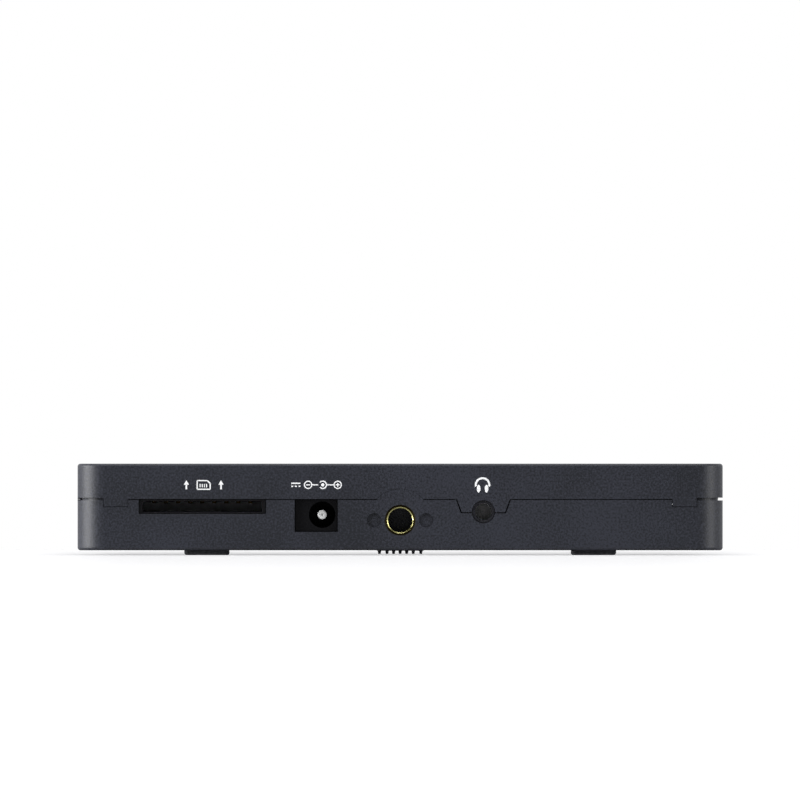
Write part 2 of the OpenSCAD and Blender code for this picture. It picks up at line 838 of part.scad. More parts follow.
// Insert that is moulded into its boss, with a countersunk mouth
module threaded_insert(side) {
    color(brass_colour)
        translate([0, side * (half_h - socket_wall), socket_z])
            rotate([90 * side, 0, 0])
                rotate_extrude()
                    polygon([[socket_bore_r + lead_in, 0], [insert_r, 0], [insert_r, insert_len],
                        [socket_bore_r, insert_len], [socket_bore_r, lead_in]]);
}

module tripod_socket_top() { threaded_insert(1); }

module tripod_socket_bottom() { threaded_insert(-1); }

module power_button() {
    w = button_w - 2 * button_gap;
    h = button_h - 2 * button_gap;
    r = button_r - button_gap;
    // Small step round the button's face
    step = 0.2;
    step_in = 0.15;
    sleeve_t = 0.3;
    color(case_colour) {
        edge_prism(1, flange_y, button_face - step) translate([button_x, button_z]) round_rect(w, h, r);
        edge_prism(1, button_face - step, button_face)
            translate([button_x, button_z])
                round_rect(w - 2 * step_in, h - 2 * step_in, r - step_in);
        edge_prism(1, flange_y, flange_y + flange_back)
            translate([button_x, button_z])
                round_rect(w + 2 * flange_out, h + 2 * flange_out, r);
        edge_bar(1, button_x, button_z, plunger_r + sleeve_t, plunger_root, flange_y);
    }
}

module switch_plunger() {
    color("#d8d8d8") edge_bar(1, button_x, button_z, plunger_r, plunger_tip, plunger_root);
}

module power_switch() {
    body_w = 6.4;
    color(dark_colour)
        difference() {
            box([button_x - body_w / 2, switch_front - switch_len, button_z - body_w / 2],
                [button_x + body_w / 2, switch_front, board_z]);
            edge_bar(1, button_x, button_z, plunger_r + slide, plunger_tip - press_room, switch_front + cut);
        }
}

module menu_dial() {
    edge = 0.3;
    groove_out = 0.05;
    half = dial_t / 2;
    color("#2b2d31")
        translate([dial_x, dial_y, dial_z])
            difference() {
                rotate_extrude()
                    polygon([[axle_r + run, -half], [dial_r - edge, -half], [dial_r, edge - half],
                        [dial_r, half - edge], [dial_r - edge, half], [axle_r + run, half]]);
                for (i = [0:dial_grooves - 1])
                    rotate(90 + i * 360 / dial_grooves)
                        translate([dial_r + groove_out, 0, -dial_t])
                            cylinder(r = dial_groove_r, h = 2 * dial_t);
            }
}

fork_gap = 0.25;
fork_low = dial_z - dial_t / 2 - fork_gap - fork_t;
fork_top = dial_z + dial_t / 2 + fork_gap + fork_t;
fork_web = 1.2;
dial_room = 0.6;
fork_back = dial_y - dial_r - dial_room - fork_web;
spring_len = 1;
encoder_front = fork_back - spring_len;
encoder_len = 4.8;
pin_r = 1.2;
pin_len = 3.2;
pin_tip = fork_back - pin_len;

module dial_axle() {
    color(metal_colour)
        translate([dial_x, dial_y, fork_low])
            cylinder(r = axle_r, h = fork_top - fork_low);
}

// Fork that carries the axle, with the pin that works the push switch
module dial_carriage() {
    end_r = 1.9;
    color("#d8d8d8") {
        difference() {
            union() {
                for (z = [fork_low, fork_top - fork_t]) {
                    box([dial_x - end_r, fork_back, z], [dial_x + end_r, dial_y, z + fork_t]);
                    translate([dial_x, dial_y, z]) cylinder(r = end_r, h = fork_t);
                }
                box([dial_x - fork_half, fork_back, fork_low],
                    [dial_x + fork_half, fork_back + fork_web, fork_top]);
            }
            translate([dial_x, dial_y, fork_low - cut]) cylinder(r = axle_r + grip, h = fork_top);
        }
        edge_bar(1, dial_x, dial_z, pin_r, pin_tip, fork_back);
    }
}

// Encoder and push switch under the board, with cheeks that guide the fork
module dial_encoder() {
    cheek = 1.1;
    cheek_len = 2;
    floor_step = 0.2;
    low = fork_low + floor_step;
    in = fork_half + slide;
    out = in + cheek;
    color(dark_colour)
        difference() {
            box([dial_x - out, encoder_front - encoder_len, low],
                [dial_x + out, fork_back + cheek_len, board_z]);
            box([dial_x - in, encoder_front, low - cut], [dial_x + in, half_h, fork_top + slide]);
            edge_bar(1, dial_x, dial_z, pin_r + slide, pin_tip - press_room, encoder_front + cut);
        }
}

module dial_spring() {
    coil_play = 0.3;
    coil_t = 0.6;
    color(metal_colour)
        difference() {
            edge_bar(1, dial_x, dial_z, pin_r + coil_play + coil_t, encoder_front + run, fork_back - run);
            edge_bar(1, dial_x, dial_z, pin_r + coil_play, encoder_front - cut, fork_back + cut);
        }
}

// Depth of the card slot's face behind the lower edge, and the gap round it
card_face = half_h - 0.4;
card_gap = 0.15;
// End of the card slot's mouth, and the mouth's ceiling
mouth_end = card_deep - card_face - 2;
mouth_top = seam_z - 0.45;

// Room behind the front frame's wall, from x0 to x1, for a socket that reaches the board
module clear_of_frame(x0, x1, gap) {
    box([x0 - cut, -half_h - cut, seam_z - gap], [x1 + cut, frame_wall + fit - half_h, board_z + cut]);
}

module sd_card_slot() {
    sill = 0.35;
    // Behind the wall the body reaches a little below its opening, so that no light shows under it
    skirt = 0.3;
    color(dark_colour)
        difference() {
            union() {
                box([card_left + card_gap, -card_face, card_low + card_gap],
                    [card_left + card_w - card_gap, card_deep - card_face, board_z]);
                box([card_left + card_gap, slide - inner_half_h, card_low - skirt],
                    [card_left + card_w - card_gap, card_deep - card_face, board_z]);
            }
            box([card_x - card_mouth / 2, -half_h - cut, card_low + sill],
                [card_x + card_mouth / 2, mouth_end, mouth_top]);
            clear_of_frame(card_left, card_left + card_w, card_gap);
        }
}

module sd_contacts() {
    contacts = 9;
    pitch = 2.5;
    contact_w = 0.8;
    contact_len = 8;
    contact_t = 0.4;
    color(brass_colour)
        for (i = [0:contacts - 1])
            translate([card_x + (i - (contacts - 1) / 2) * pitch, 0, 0])
                box([-contact_w / 2, mouth_end - contact_len, mouth_top - contact_t],
                    [contact_w / 2, mouth_end, mouth_top]);
}

// Room between the battery bay's wall and the jacks' rear ends
jack_room = 3;
jack_end = jack_room - bay_low + bay_wall;

// Place of the power inlet's face, and the lengths behind that face
inlet_face = half_h - 0.8;
inlet_deep = inlet_face - jack_end;
inlet_bore_deep = inlet_deep - 4;
inlet_gap = 0.15;
inlet_pin_back = 1;
inlet_pin_len = inlet_deep - 3;

module dc_jack() {
    pin_end = inlet_face - inlet_pin_back - inlet_pin_len;
    color(dark_colour)
        difference() {
            box([inlet_left + inlet_gap, -inlet_face, inlet_low + inlet_gap],
                [inlet_left + inlet_w - inlet_gap, inlet_deep - inlet_face, board_z]);
            edge_bar(-1, inlet_x, inlet_z, inlet_bore_r, inlet_face - inlet_bore_deep, inlet_face + cut);
            edge_bar(-1, inlet_x, inlet_z, inlet_pin_r + grip, pin_end, inlet_face);
            clear_of_frame(inlet_left, inlet_left + inlet_w, inlet_gap);
        }
}

module dc_pin() {
    tip = 0.35;
    color(metal_colour)
        translate([inlet_x, inlet_pin_back - inlet_face, inlet_z])
            rotate([-90, 0, 0])
                rotate_extrude()
                    polygon([[0, 0], [inlet_pin_r - tip, 0], [inlet_pin_r, tip],
                        [inlet_pin_r, inlet_pin_len], [0, inlet_pin_len]]);
}

module headphone_jack() {
    body_w = 6.6;
    body_front = half_h - frame_wall - fit;
    body_len = body_front - jack_end;
    bore_len = body_len - 0.5;
    nose = half_h - 0.5;
    nose_r = phones_hole_r - fit;
    color(dark_colour)
        difference() {
            union() {
                box([phones_x - body_w / 2, -body_front, phones_z - phones_down],
                    [phones_x + body_w / 2, body_len - body_front, board_z]);
                edge_bar(-1, phones_x, phones_z, nose_r, body_front - cut, nose);
            }
            edge_bar(-1, phones_x, phones_z, phones_bore_r, nose - bore_len, nose + cut);
        }
}

video_wall = 0.5;
video_chamfer = 1.6;
video_back_t = 0.4;
video_face = 0.5 - half_w;

// Outline of a video socket, seen from its mouth, with both lower corners cut off; inset by its wall
module video_outline(inset) {
    half = video_w / 2 - inset;
    corner = video_chamfer + inset * (sqrt(2) - 1) - inset;
    top = video_h - inset;
    polygon([[-half, top], [half, top], [half, inset + corner], [half - corner, inset],
        [corner - half, inset], [-half, inset + corner]]);
}

module video_shell(y) {
    color(metal_colour)
        translate([video_face, y, video_low_z])
            rotate([90, 0, 90])
                difference() {
                    linear_extrude(video_deep) video_outline(0);
                    translate([0, 0, -cut])
                        linear_extrude(video_deep - video_back_t + cut)
                            video_outline(video_wall);
                }
}

module hdmi_in() { video_shell(video_top); }

module hdmi_out() { video_shell(video_low); }

// Plastic core of each video socket: a block at the back and the tongue that carries the contacts
module hdmi_inserts() {
    tongue_w = 11.6;
    tongue_t = 1.4;
    tongue_back = 1.2;
    block = 3;
    back = video_face + video_deep - video_back_t;
    block_w = video_w - 2 * (video_chamfer + video_wall);
    color(dark_colour)
        for (y = video_ys) {
            box([back - block, y - block_w / 2, video_low_z + video_wall],
                [back, y + block_w / 2, board_z - video_wall]);
            box([video_face + tongue_back, y - tongue_w / 2, video_z],
                [back, y + tongue_w / 2, video_z + tongue_t]);
        }
}

terminal_ys = [for (i = [-1.5:1:1.5]) bay_y + i * terminal_pitch];
terminal_t = 0.6;
tail_x = -bay_end + 1.2;
tail_w = 0.8;
blade_low = rear_z + 1.6;
blade_top = rear_z + 3.2;
blade_out = 3.6;

// Upright ends of the terminals, grown sideways, which run through the bay's floor from z0 to z1
module terminal_tails(grow, z0, z1) {
    for (y = terminal_ys)
        box([tail_x - grow, y - terminal_t / 2 - grow, z0],
            [tail_x + tail_w + grow, y + terminal_t / 2 + grow, z1]);
}

// Blades of the terminals, which stand out of the contact block into the bay
module terminal_blades(grow) {
    for (y = terminal_ys)
        box([tail_x - grow, y - terminal_t / 2 - grow, blade_low - grow],
            [block_t - bay_end + blade_out, y + terminal_t / 2 + grow, blade_top + grow]);
}

module contact_block() {
    block_low = rear_z + 0.8;
    block_w = len(terminal_ys) * terminal_pitch + 1;
    color(dark_colour)
        difference() {
            box([-bay_end, bay_y - block_w / 2, block_low],
                [block_t - bay_end, bay_y + block_w / 2, bay_floor_z]);
            terminal_blades(grip);
            terminal_tails(grip, blade_low, bay_floor_z + cut);
        }
}

module battery_terminals() {
    color(brass_colour) {
        terminal_blades(0);
        terminal_tails(0, blade_low, board_z);
    }
}

// One-piece latch: ribbed button, flange behind the case floor, arm over the bay wall and tooth
module battery_latch() {
    valley_z = rear_z - 0.1;
    flange_z = rear_z + floor_t + 0.3;
    flange_t = 1.2;
    ribs = 7;
    rib_w = 0.8;
    rib_root = valley_z + 0.2;
    rib_tip = rear_z - rib_up;
    rib_slope = 0.14;
    rib_end_in = 0.6;
    arm_half = 4;
    color("#26282c")
        difference() {
            union() {
                plate_at_latch(0, valley_z, arm_top);
                plate_at_latch(flange_out, flange_z, flange_z + flange_t);
                for (i = [0:ribs - 1]) {
                    // The first and last rib stand at the button's ends
                    at_end = i == 0 || i == ribs - 1;
                    x = at_end ? sign(i - 1) * (latch_w / 2 - rib_end_in) : (i - (ribs - 1) / 2) * rib_pitch;
                    translate([x, latch_y, 0])
                        rotate([90, 0, 0])
                            linear_extrude(latch_len - 2 * rib_end_in, center = true)
                                polygon([[-rib_w / 2, rib_root], [rib_slope - rib_w / 2, rib_tip],
                                    [rib_w / 2 - rib_slope, rib_tip], [rib_w / 2, rib_root]]);
                }
                box([-arm_half, tooth_y - tooth_len / 2 - 1, arm_low], [arm_half, latch_y, arm_top]);
                tooth(0, bay_floor_z - latch_travel, arm_low + arm_t / 2);
            }
            for (sx = [-1, 1])
                translate([sx * spring_x, latch_y, spring_floor])
                    cylinder(r = spring_r + spring_play, h = rear_depth);
        }
}

module latch_springs() {
    color(metal_colour)
        for (sx = [-1, 1])
            translate([sx * spring_x, latch_y, spring_floor + run])
                difference() {
                    cylinder(r = spring_r, h = bracket_z - spring_floor - 2 * run);
                    translate([0, 0, -cut]) cylinder(r = spring_r - spring_wall, h = rear_depth);
                }
}

module latch_bracket() {
    bracket_w = 6;
    bracket_len = 2 * bracket_post_x + 5;
    color(metal_colour)
        difference() {
            translate([0, latch_y, 0])
                plate(bracket_len, bracket_w, 1.5, bracket_z, bracket_z + bracket_t);
            for (sx = [-1, 1])
                translate([sx * bracket_post_x, latch_y, 0]) cylinder(r = screw_r + fit, h = front_z);
        }
}

module bracket_screws() {
    color(metal_colour)
        for (sx = [-1, 1])
            translate([sx * bracket_post_x, latch_y, bracket_z + bracket_t])
                mirror([0, 0, 1])
                    screw(pan_head_r, bracket_screw_len);
}

module rubber_feet() {
    color("#1d1e20")
        foot_places() rim_block(foot_w, foot_len, foot_corner, foot_rim, foot_h + foot_sunk);
}

rear_cover();
front_frame();
cover_glass();
glass_tape();
lcd_panel();
backlight();
lcd_tape();
lcd_flex();
touch_flex();
main_board();
processor();
memory_chips();
thermal_pad();
heat_spreader();
board_screws();
case_screws();
tripod_socket_top();
tripod_socket_bottom();
power_button();
switch_plunger();
power_switch();
menu_dial();
dial_axle();
dial_carriage();
dial_encoder();
dial_spring();
sd_card_slot();
sd_contacts();
dc_jack();
dc_pin();
headphone_jack();
hdmi_in();
hdmi_out();
hdmi_inserts();
contact_block();
battery_terminals();
battery_latch();
latch_springs();
latch_bracket();
bracket_screws();
rubber_feet();
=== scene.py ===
import math

import bmesh
import bpy
from mathutils import Matrix, Vector


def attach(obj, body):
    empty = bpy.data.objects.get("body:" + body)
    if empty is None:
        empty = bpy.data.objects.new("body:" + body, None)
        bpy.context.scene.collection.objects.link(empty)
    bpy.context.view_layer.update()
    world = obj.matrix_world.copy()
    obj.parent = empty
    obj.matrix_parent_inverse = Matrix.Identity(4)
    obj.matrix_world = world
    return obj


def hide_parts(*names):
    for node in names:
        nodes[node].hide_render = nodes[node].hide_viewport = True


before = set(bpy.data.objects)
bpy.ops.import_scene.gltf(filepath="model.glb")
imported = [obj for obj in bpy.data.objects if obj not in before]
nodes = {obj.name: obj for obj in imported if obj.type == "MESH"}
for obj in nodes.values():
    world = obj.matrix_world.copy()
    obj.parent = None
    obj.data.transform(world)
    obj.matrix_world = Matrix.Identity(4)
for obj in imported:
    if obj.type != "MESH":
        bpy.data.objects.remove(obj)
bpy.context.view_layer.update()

MM = 0.001


# --- Camera ---------------------------------------------------------------------------------
# The photograph looks level at the lower edge, from so far away that nothing narrows with depth,
# so the camera is parallel. One millimetre of the case's front edge is 4.814 pixels of 800.
PIXELS = 800
PIXELS_PER_MM = 4.814
PHOTO_REAR_Y = 550.3
REAR_FACE = 1.0
CAMERA_X, CAMERA_AWAY = -0.03, 600

middle_height = REAR_FACE + (PHOTO_REAR_Y - PIXELS / 2) / PIXELS_PER_MM
camera_data = bpy.data.cameras.new("level_camera")
camera_data.type = "ORTHO"
camera_data.ortho_scale = PIXELS / PIXELS_PER_MM * MM
camera_data.clip_start = 0.01
camera_data.clip_end = 20
camera = bpy.data.objects.new("level_camera", camera_data)
camera.location = Vector((CAMERA_X, -CAMERA_AWAY, middle_height)) * MM
camera.rotation_euler = (math.radians(90), 0, 0)
bpy.context.scene.collection.objects.link(camera)
bpy.context.scene.camera = camera
bpy.context.scene.view_settings.view_transform = "Standard"


# --- Table and studio -----------------------------------------------------------------------
# A sheet of pale paper, flat under the monitor. It slopes away in front and rises a little
# behind, so that a level camera still sees its surface and the soft shadow on it.
SHEET_HALF, SHEET_UNDER = 2500, 0.03
SHEET_ROWS, ROW_CROWDING = 900, 2.4
SLOPE_START, SLOPE, SLOPE_KNEE, SLOPE_LENGTH = 42.4, 0.13, 0.8, 420
DIP, DIP_LENGTH = 0.8, 4
RISE_START, RISE_LENGTH, RISE = 44, 14, 1.15
PANE_HALF_X, PANE_HALF_Y = 64.5, 39.5
PAPER_GAIN = 0.48


def linear(hex_colour):
    """sRGB hex to the linear values that a shader takes."""
    channels = [int(hex_colour[i:i + 2], 16) / 255 for i in (1, 3, 5)]
    return [c / 12.92 if c <= 0.04045 else ((c + 0.055) / 1.055) ** 2.4 for c in channels] + [1]


def add(tree, kind, links=None, **settings):
    """Adds a node. A setting that names an input sets its value, any other sets a property.
    A hex colour is turned to linear, and a link comes from a node or from one of its outputs.
    A number as a name is the place of the input."""
    node = tree.nodes.new(kind)
    for name, value in settings.items():
        if isinstance(value, str) and value.startswith("#"):
            value = linear(value)
        if hasattr(node, name):
            setattr(node, name, value)
        elif name.startswith("input_"):
            node.inputs[int(name[6:])].default_value = value
        else:
            node.inputs[name.replace("_", " ")].default_value = value
    for name, source in (links or {}).items():
        if isinstance(source, bpy.types.Node):
            source = next(out for out in source.outputs if out.enabled)
        tree.links.new(source, node.inputs[name])
    return node


def new_material(name):
    """An empty node material: itself, its tree, and the piece's own place in metres."""
    material = bpy.data.materials.new(name)
    material.use_nodes = True
    tree = material.node_tree
    tree.nodes.clear()
    return material, tree, add(tree, "ShaderNodeTexCoord").outputs["Object"]


def finish_material(tree, links, **settings):
    """Ends a material with the one shader that takes its patterns and its constant values."""
    shader = add(tree, "ShaderNodeBsdfPrincipled", links, **settings)
    add(tree, "ShaderNodeOutputMaterial", {"Surface": shader})


def smooth_step(x):
    """Goes from 0 to 1 with a level start and end."""
    x = min(max(x, 0), 1)
    return x * x * (3 - 2 * x)


def piece_from(builder, name, smooth=True):
    """Turns a bmesh into an object at the origin and frees the bmesh."""
    mesh = bpy.data.meshes.new(name)
    for face in builder.faces:
        face.smooth = smooth
    builder.to_mesh(mesh)
    builder.free()
    piece = bpy.data.objects.new(name, mesh)
    bpy.context.scene.collection.objects.link(piece)
    return piece


paper = bmesh.new()
bmesh.ops.create_grid(paper, x_segments=4, y_segments=SHEET_ROWS, size=SHEET_HALF * MM)
for vert in paper.verts:
    # Rows are closest together where the sheet bends
    y = vert.co.y / MM
    y = math.copysign(abs(y / SHEET_HALF) ** ROW_CROWDING, y) * SHEET_HALF
    ahead = min(max(-y - SLOPE_START, 0), SLOPE_LENGTH)
    slope = SLOPE * (math.hypot(ahead, SLOPE_KNEE) - SLOPE_KNEE)
    dip = DIP * (1 - math.exp(-ahead / DIP_LENGTH))
    rise = RISE * smooth_step((y - RISE_START) / RISE_LENGTH)
    vert.co.y = y * MM
    vert.co.z = (rise - slope - dip - SHEET_UNDER) * MM
paper = piece_from(paper, "paper_sheet")

# Matt paper: pale grey to the light, and white to the camera and through glass, with its shadow
# on it. It is clear from below, and under the monitor it lets the lower lamp through, so that
# the rear face can be looked at where it lies.
paper_material, tree, place = new_material("white_studio_paper")
fibres = add(tree, "ShaderNodeTexNoise", {"Vector": place}, Scale=900, Detail=4)
tint = add(tree, "ShaderNodeMix", {"Factor": fibres}, data_type="RGBA", A="#dededf", B="#e2e2e3")
rays = add(tree, "ShaderNodeLightPath").outputs
seen = add(tree, "ShaderNodeMath",
           {0: rays["Is Camera Ray"], 1: rays["Is Transmission Ray"]}, operation="MAXIMUM")
gain = add(tree, "ShaderNodeMath", {0: seen}, operation="MULTIPLY_ADD",
           input_1=PAPER_GAIN, input_2=1)
white = add(tree, "ShaderNodeVectorMath", {0: tint.outputs["Result"], "Scale": gain},
            operation="SCALE")
matt = add(tree, "ShaderNodeBsdfDiffuse", {"Color": white})
side = add(tree, "ShaderNodeSeparateXYZ", {"Vector": place})
off_x = add(tree, "ShaderNodeMath", {0: side.outputs["X"]}, operation="ABSOLUTE")
off_y = add(tree, "ShaderNodeMath", {0: side.outputs["Y"]}, operation="ABSOLUTE")
in_x = add(tree, "ShaderNodeMath", {0: off_x}, operation="LESS_THAN", input_1=PANE_HALF_X * MM)
in_y = add(tree, "ShaderNodeMath", {0: off_y}, operation="LESS_THAN", input_1=PANE_HALF_Y * MM)
pane = add(tree, "ShaderNodeMath", {0: in_x, 1: in_y}, operation="MULTIPLY")
from_under = add(tree, "ShaderNodeMath", {0: pane, 1: rays["Is Shadow Ray"]},
                 operation="MULTIPLY")
underside = add(tree, "ShaderNodeNewGeometry").outputs["Backfacing"]
clear = add(tree, "ShaderNodeMath", {0: from_under, 1: underside}, operation="MAXIMUM")
nothing = add(tree, "ShaderNodeBsdfTransparent")
sheet = add(tree, "ShaderNodeMixShader", {0: clear, 1: matt, 2: nothing})
add(tree, "ShaderNodeOutputMaterial", {"Surface": sheet})
paper.data.materials.append(paper_material)

# The room: a white backdrop to the camera, in glass and in metal. As light it is dark on the
# camera's side, where a studio has no lamp, brighter behind and overhead, and black under the
# table.
FRONT_LEVEL, BACK_LEVEL, TOP_LEVEL = 0.1, 0.34, 0.2
TABLE_EDGE = -0.02
world = bpy.data.worlds.new("studio")
bpy.context.scene.world = world
world.use_nodes = True
tree = world.node_tree
tree.nodes.clear()
towards = add(tree, "ShaderNodeTexCoord").outputs["Generated"]
axes = add(tree, "ShaderNodeSeparateXYZ", {"Vector": towards})
behind = add(tree, "ShaderNodeMapRange", {"Value": axes.outputs["Y"]},
             interpolation_type="SMOOTHSTEP",
             From_Min=-0.7, From_Max=0.6, To_Min=FRONT_LEVEL, To_Max=BACK_LEVEL)
above = add(tree, "ShaderNodeMapRange", {"Value": axes.outputs["Z"]},
            interpolation_type="SMOOTHSTEP",
            From_Min=0.0, From_Max=0.9, To_Min=0.0, To_Max=TOP_LEVEL)
over_table = add(tree, "ShaderNodeMath", {0: axes.outputs["Z"]}, operation="GREATER_THAN",
                 input_1=TABLE_EDGE)
room_level = add(tree, "ShaderNodeMath", {0: behind, 1: above}, operation="ADD")
level = add(tree, "ShaderNodeMath", {0: room_level, 1: over_table}, operation="MULTIPLY")
rays = add(tree, "ShaderNodeLightPath").outputs
seen = add(tree, "ShaderNodeMath",
           {0: rays["Is Camera Ray"], 1: rays["Is Transmission Ray"]}, operation="MAXIMUM")
# Metal sees the backdrop where it stands, behind the monitor and beside it
backdrop = add(tree, "ShaderNodeMapRange", {"Value": axes.outputs["Y"]},
               interpolation_type="SMOOTHSTEP",
               From_Min=-0.5, From_Max=0.5, To_Min=0.0, To_Max=1.0)
shiny = add(tree, "ShaderNodeMath", {0: rays["Is Glossy Ray"], 1: backdrop},
            operation="MULTIPLY")
white = add(tree, "ShaderNodeMath", {0: shiny, 1: seen}, operation="MAXIMUM")
strength = add(tree, "ShaderNodeMix", {"Factor": white, "A": level}, data_type="FLOAT", B=1)
room = add(tree, "ShaderNodeBackground", {"Strength": strength}, Color=(1, 1, 1, 1))
add(tree, "ShaderNodeOutputWorld", {"Surface": room})

# Soft boxes: name, place, the point that each one faces, width, height and radiant power
SOFT_BOXES = [
    ("left_box", (-680, -190, 130), (0, -20, 9), 520, 420, 11.5),
    ("right_box", (640, -290, 130), (0, -20, 9), 380, 420, 3.6),
    ("top_box", (0, -440, 1400), (0, -20, 0), 1300, 800, 15),
    ("lower_box", (0, 0, -600), (0, 0, 0), 600, 400, 1.8),
]
for name, spot, aim, width, height, power in SOFT_BOXES:
    lamp = bpy.data.lights.new(name, "AREA")
    lamp.shape = "RECTANGLE"
    lamp.size = width * MM
    lamp.size_y = height * MM
    lamp.energy = power
    box = bpy.data.objects.new(name, lamp)
    box.location = Vector(spot) * MM
    box.rotation_euler = (Vector(aim) - Vector(spot)).to_track_quat("-Z", "Y").to_euler()
    bpy.context.scene.collection.objects.link(box)

# Black flags keep the two side boxes off the table and, further down, off the cover glass
flagged = bpy.data.collections.new("behind_the_flags")
flagged.objects.link(paper)
for name in ("left_box", "right_box"):
    bpy.data.objects[name].light_linking.receiver_collection = flagged


# --- Case shells ----------------------------------------------------------------------------
# Rear cover and front frame are injection-moulded ABS, both from one batch of charcoal grey. The
# front frame's tabs and lip locate it in the rear cover, and four screws hold the two together.
NOISE_LOW, NOISE_HIGH = 0.3, 0.7
GRIT_WEIGHT, DARKEST, PALEST = 2.2, 1.35, 1.85
ROUGH_SPREAD = 0.05


def moulded(name, dark, light, roughness, grain_mm, grain_deep_mm, gloss=0.5, flow_scale=55,
            painted_light_inside=None, inside_from_mm=0):
    """Moulded plastic or rubber with a fine grain: colour, gloss and relief all vary with it.
    Further back than the given place on the Y axis a part can take another colour, a pale one
    painted as light in the shade of a deep hollow."""
    material, tree, place = new_material(name)
    grit = add(tree, "ShaderNodeTexNoise", {"Vector": place}, Scale=1 / (grain_mm * MM), Detail=2,
               Roughness=0.6)
    flow = add(tree, "ShaderNodeTexNoise", {"Vector": place}, Scale=flow_scale, Detail=2)
    both = add(tree, "ShaderNodeMath", {0: grit.outputs["Fac"], 2: flow.outputs["Fac"]},
               operation="MULTIPLY_ADD", input_1=GRIT_WEIGHT)
    shade = add(tree, "ShaderNodeMapRange", {"Value": both}, From_Min=DARKEST, From_Max=PALEST)
    tint = add(tree, "ShaderNodeMix", {"Factor": shade}, data_type="RGBA", A=dark, B=light)
    # Painted light: a pale colour at the back of a hollow stands in for light in its shade
    if painted_light_inside:
        along = add(tree, "ShaderNodeSeparateXYZ", {"Vector": place})
        painted_light_zone = add(tree, "ShaderNodeMath", {0: along.outputs["Y"]}, operation="GREATER_THAN",
                   input_1=inside_from_mm * MM)
        tint = add(tree, "ShaderNodeMix", {"Factor": painted_light_zone, "A": tint}, data_type="RGBA", B=painted_light_inside)
    rough = add(tree, "ShaderNodeMapRange", {"Value": grit},
                From_Min=NOISE_LOW, From_Max=NOISE_HIGH,
                To_Min=roughness - ROUGH_SPREAD, To_Max=roughness + ROUGH_SPREAD)
    relief = add(tree, "ShaderNodeBump", {"Height": grit}, Strength=0.6,
                 Distance=grain_deep_mm * MM)
    finish_material(tree, {"Base Color": tint, "Roughness": rough, "Normal": relief}, IOR=1.5,
                    Specular_IOR_Level=gloss)
    return material


def paint(material, *names):
    """Gives CAD nodes of the right shape their finish."""
    for name in names:
        nodes[name].data.materials.clear()
        nodes[name].data.materials.append(material)


# Spark-eroded moulded ABS: the even grain scatters light, so the eye sees a soft satin grey
# without a clear reflection. The grain is about 0.15 mm and is drawn at 0.42 mm so that it shows.
case_plastic = moulded("ABS_spark_eroded_charcoal", "#181a20", "#292b34", 0.46, 0.42, 0.05,
                       gloss=0.33)
paint(case_plastic, "rear_cover", "front_frame")


# --- Printed signs --------------------------------------------------------------------------
# Matt white ink, pad-printed on the front frame beside the controls: plain signs for the card,
# the power inlet, the headphones, the power button with its touch lock, and the menu dial.
INK_T, INK_SUNK = 0.012, 0.0012
STROKE, FINE_STROKE, CARD_STROKE = 0.27, 0.22, 0.24
CURVE_STEPS = 24
CASE_EDGE = 42.0

# Pad-printing ink: matt, and slightly thin where the grain of the plastic shows through
white_ink, tree, place = new_material("pad_print_ink_white")
thin = add(tree, "ShaderNodeTexNoise", {"Vector": place}, Scale=1 / (0.25 * MM), Detail=2)
cover = add(tree, "ShaderNodeMapRange", {"Value": thin}, From_Min=0.3, From_Max=0.55)
tint = add(tree, "ShaderNodeMix", {"Factor": cover}, data_type="RGBA", A="#d2d3d5", B="#ecedee")
finish_material(tree, {"Base Color": tint}, Roughness=0.6, IOR=1.5)


def ink_bar(sign, x0, y0, x1, y1, width=STROKE):
    """Straight stroke from one point to another."""
    start, end = Vector((x0, y0, 0)), Vector((x1, y1, 0))
    along = end - start
    lay = (Matrix.Translation((start + end) / 2)
           @ Matrix.Rotation(math.atan2(along.y, along.x), 4, "Z")
           @ Matrix.Diagonal((along.length, width, 1, 1)))
    bmesh.ops.create_grid(sign, x_segments=1, y_segments=1, size=0.5, matrix=lay)


def ink_arc(sign, x, y, radius, start, end, width=STROKE):
    """Round stroke between two angles in degrees, which closes after a full turn."""
    ray = Matrix.Rotation(math.radians(start), 3, "Z") @ Vector((1, 0, 0))
    ends = [sign.verts.new(Vector((x, y, 0)) + ray * (radius + half))
            for half in (-width / 2, width / 2)]
    edge = sign.edges.new(ends)
    bmesh.ops.spin(sign, geom=ends + [edge], cent=(x, y, 0), axis=(0, 0, 1), dvec=(0, 0, 0),
                   angle=math.radians(end - start), steps=CURVE_STEPS,
                   use_merge=end - start == 360, use_duplicate=False)


def ink_dot(sign, x, y, radius, corners=CURVE_STEPS, turn=0.0, stretch=(1, 1)):
    """Filled disc. With three corners it is an arrowhead that points up, turned anticlockwise."""
    bmesh.ops.create_circle(sign, cap_ends=True, segments=corners, radius=radius,
                            matrix=Matrix.Translation((x, y, 0))
                            @ Matrix.Diagonal((stretch[0], stretch[1], 1, 1))
                            @ Matrix.Rotation(math.radians(turn), 4, "Z"))


def thicken(flat, height):
    """Makes a closed plate of flat faces, which stay its underside."""
    for face in flat.faces:
        face.normal_update()
        if face.normal.z < 0:
            face.normal_flip()
    under = list(flat.faces)
    raised = bmesh.ops.extrude_face_region(flat, geom=under, use_keep_orig=True)["geom"]
    bmesh.ops.translate(flat, vec=(0, 0, height),
                        verts=[v for v in raised if isinstance(v, bmesh.types.BMVert)])
    bmesh.ops.reverse_faces(flat, faces=under)


def stand_on_edge(body, x, y, z, side):
    """Lays a body's Z axis outwards from the lower (-1) or upper (1) edge, in metres."""
    lay = Matrix(((1, 0, 0), (0, 0, -side), (0, side, 0))).transposed().to_4x4()
    lay.translation = Vector((x, y, z))
    bmesh.ops.transform(body, matrix=Matrix.Scale(MM, 4) @ lay, verts=body.verts)


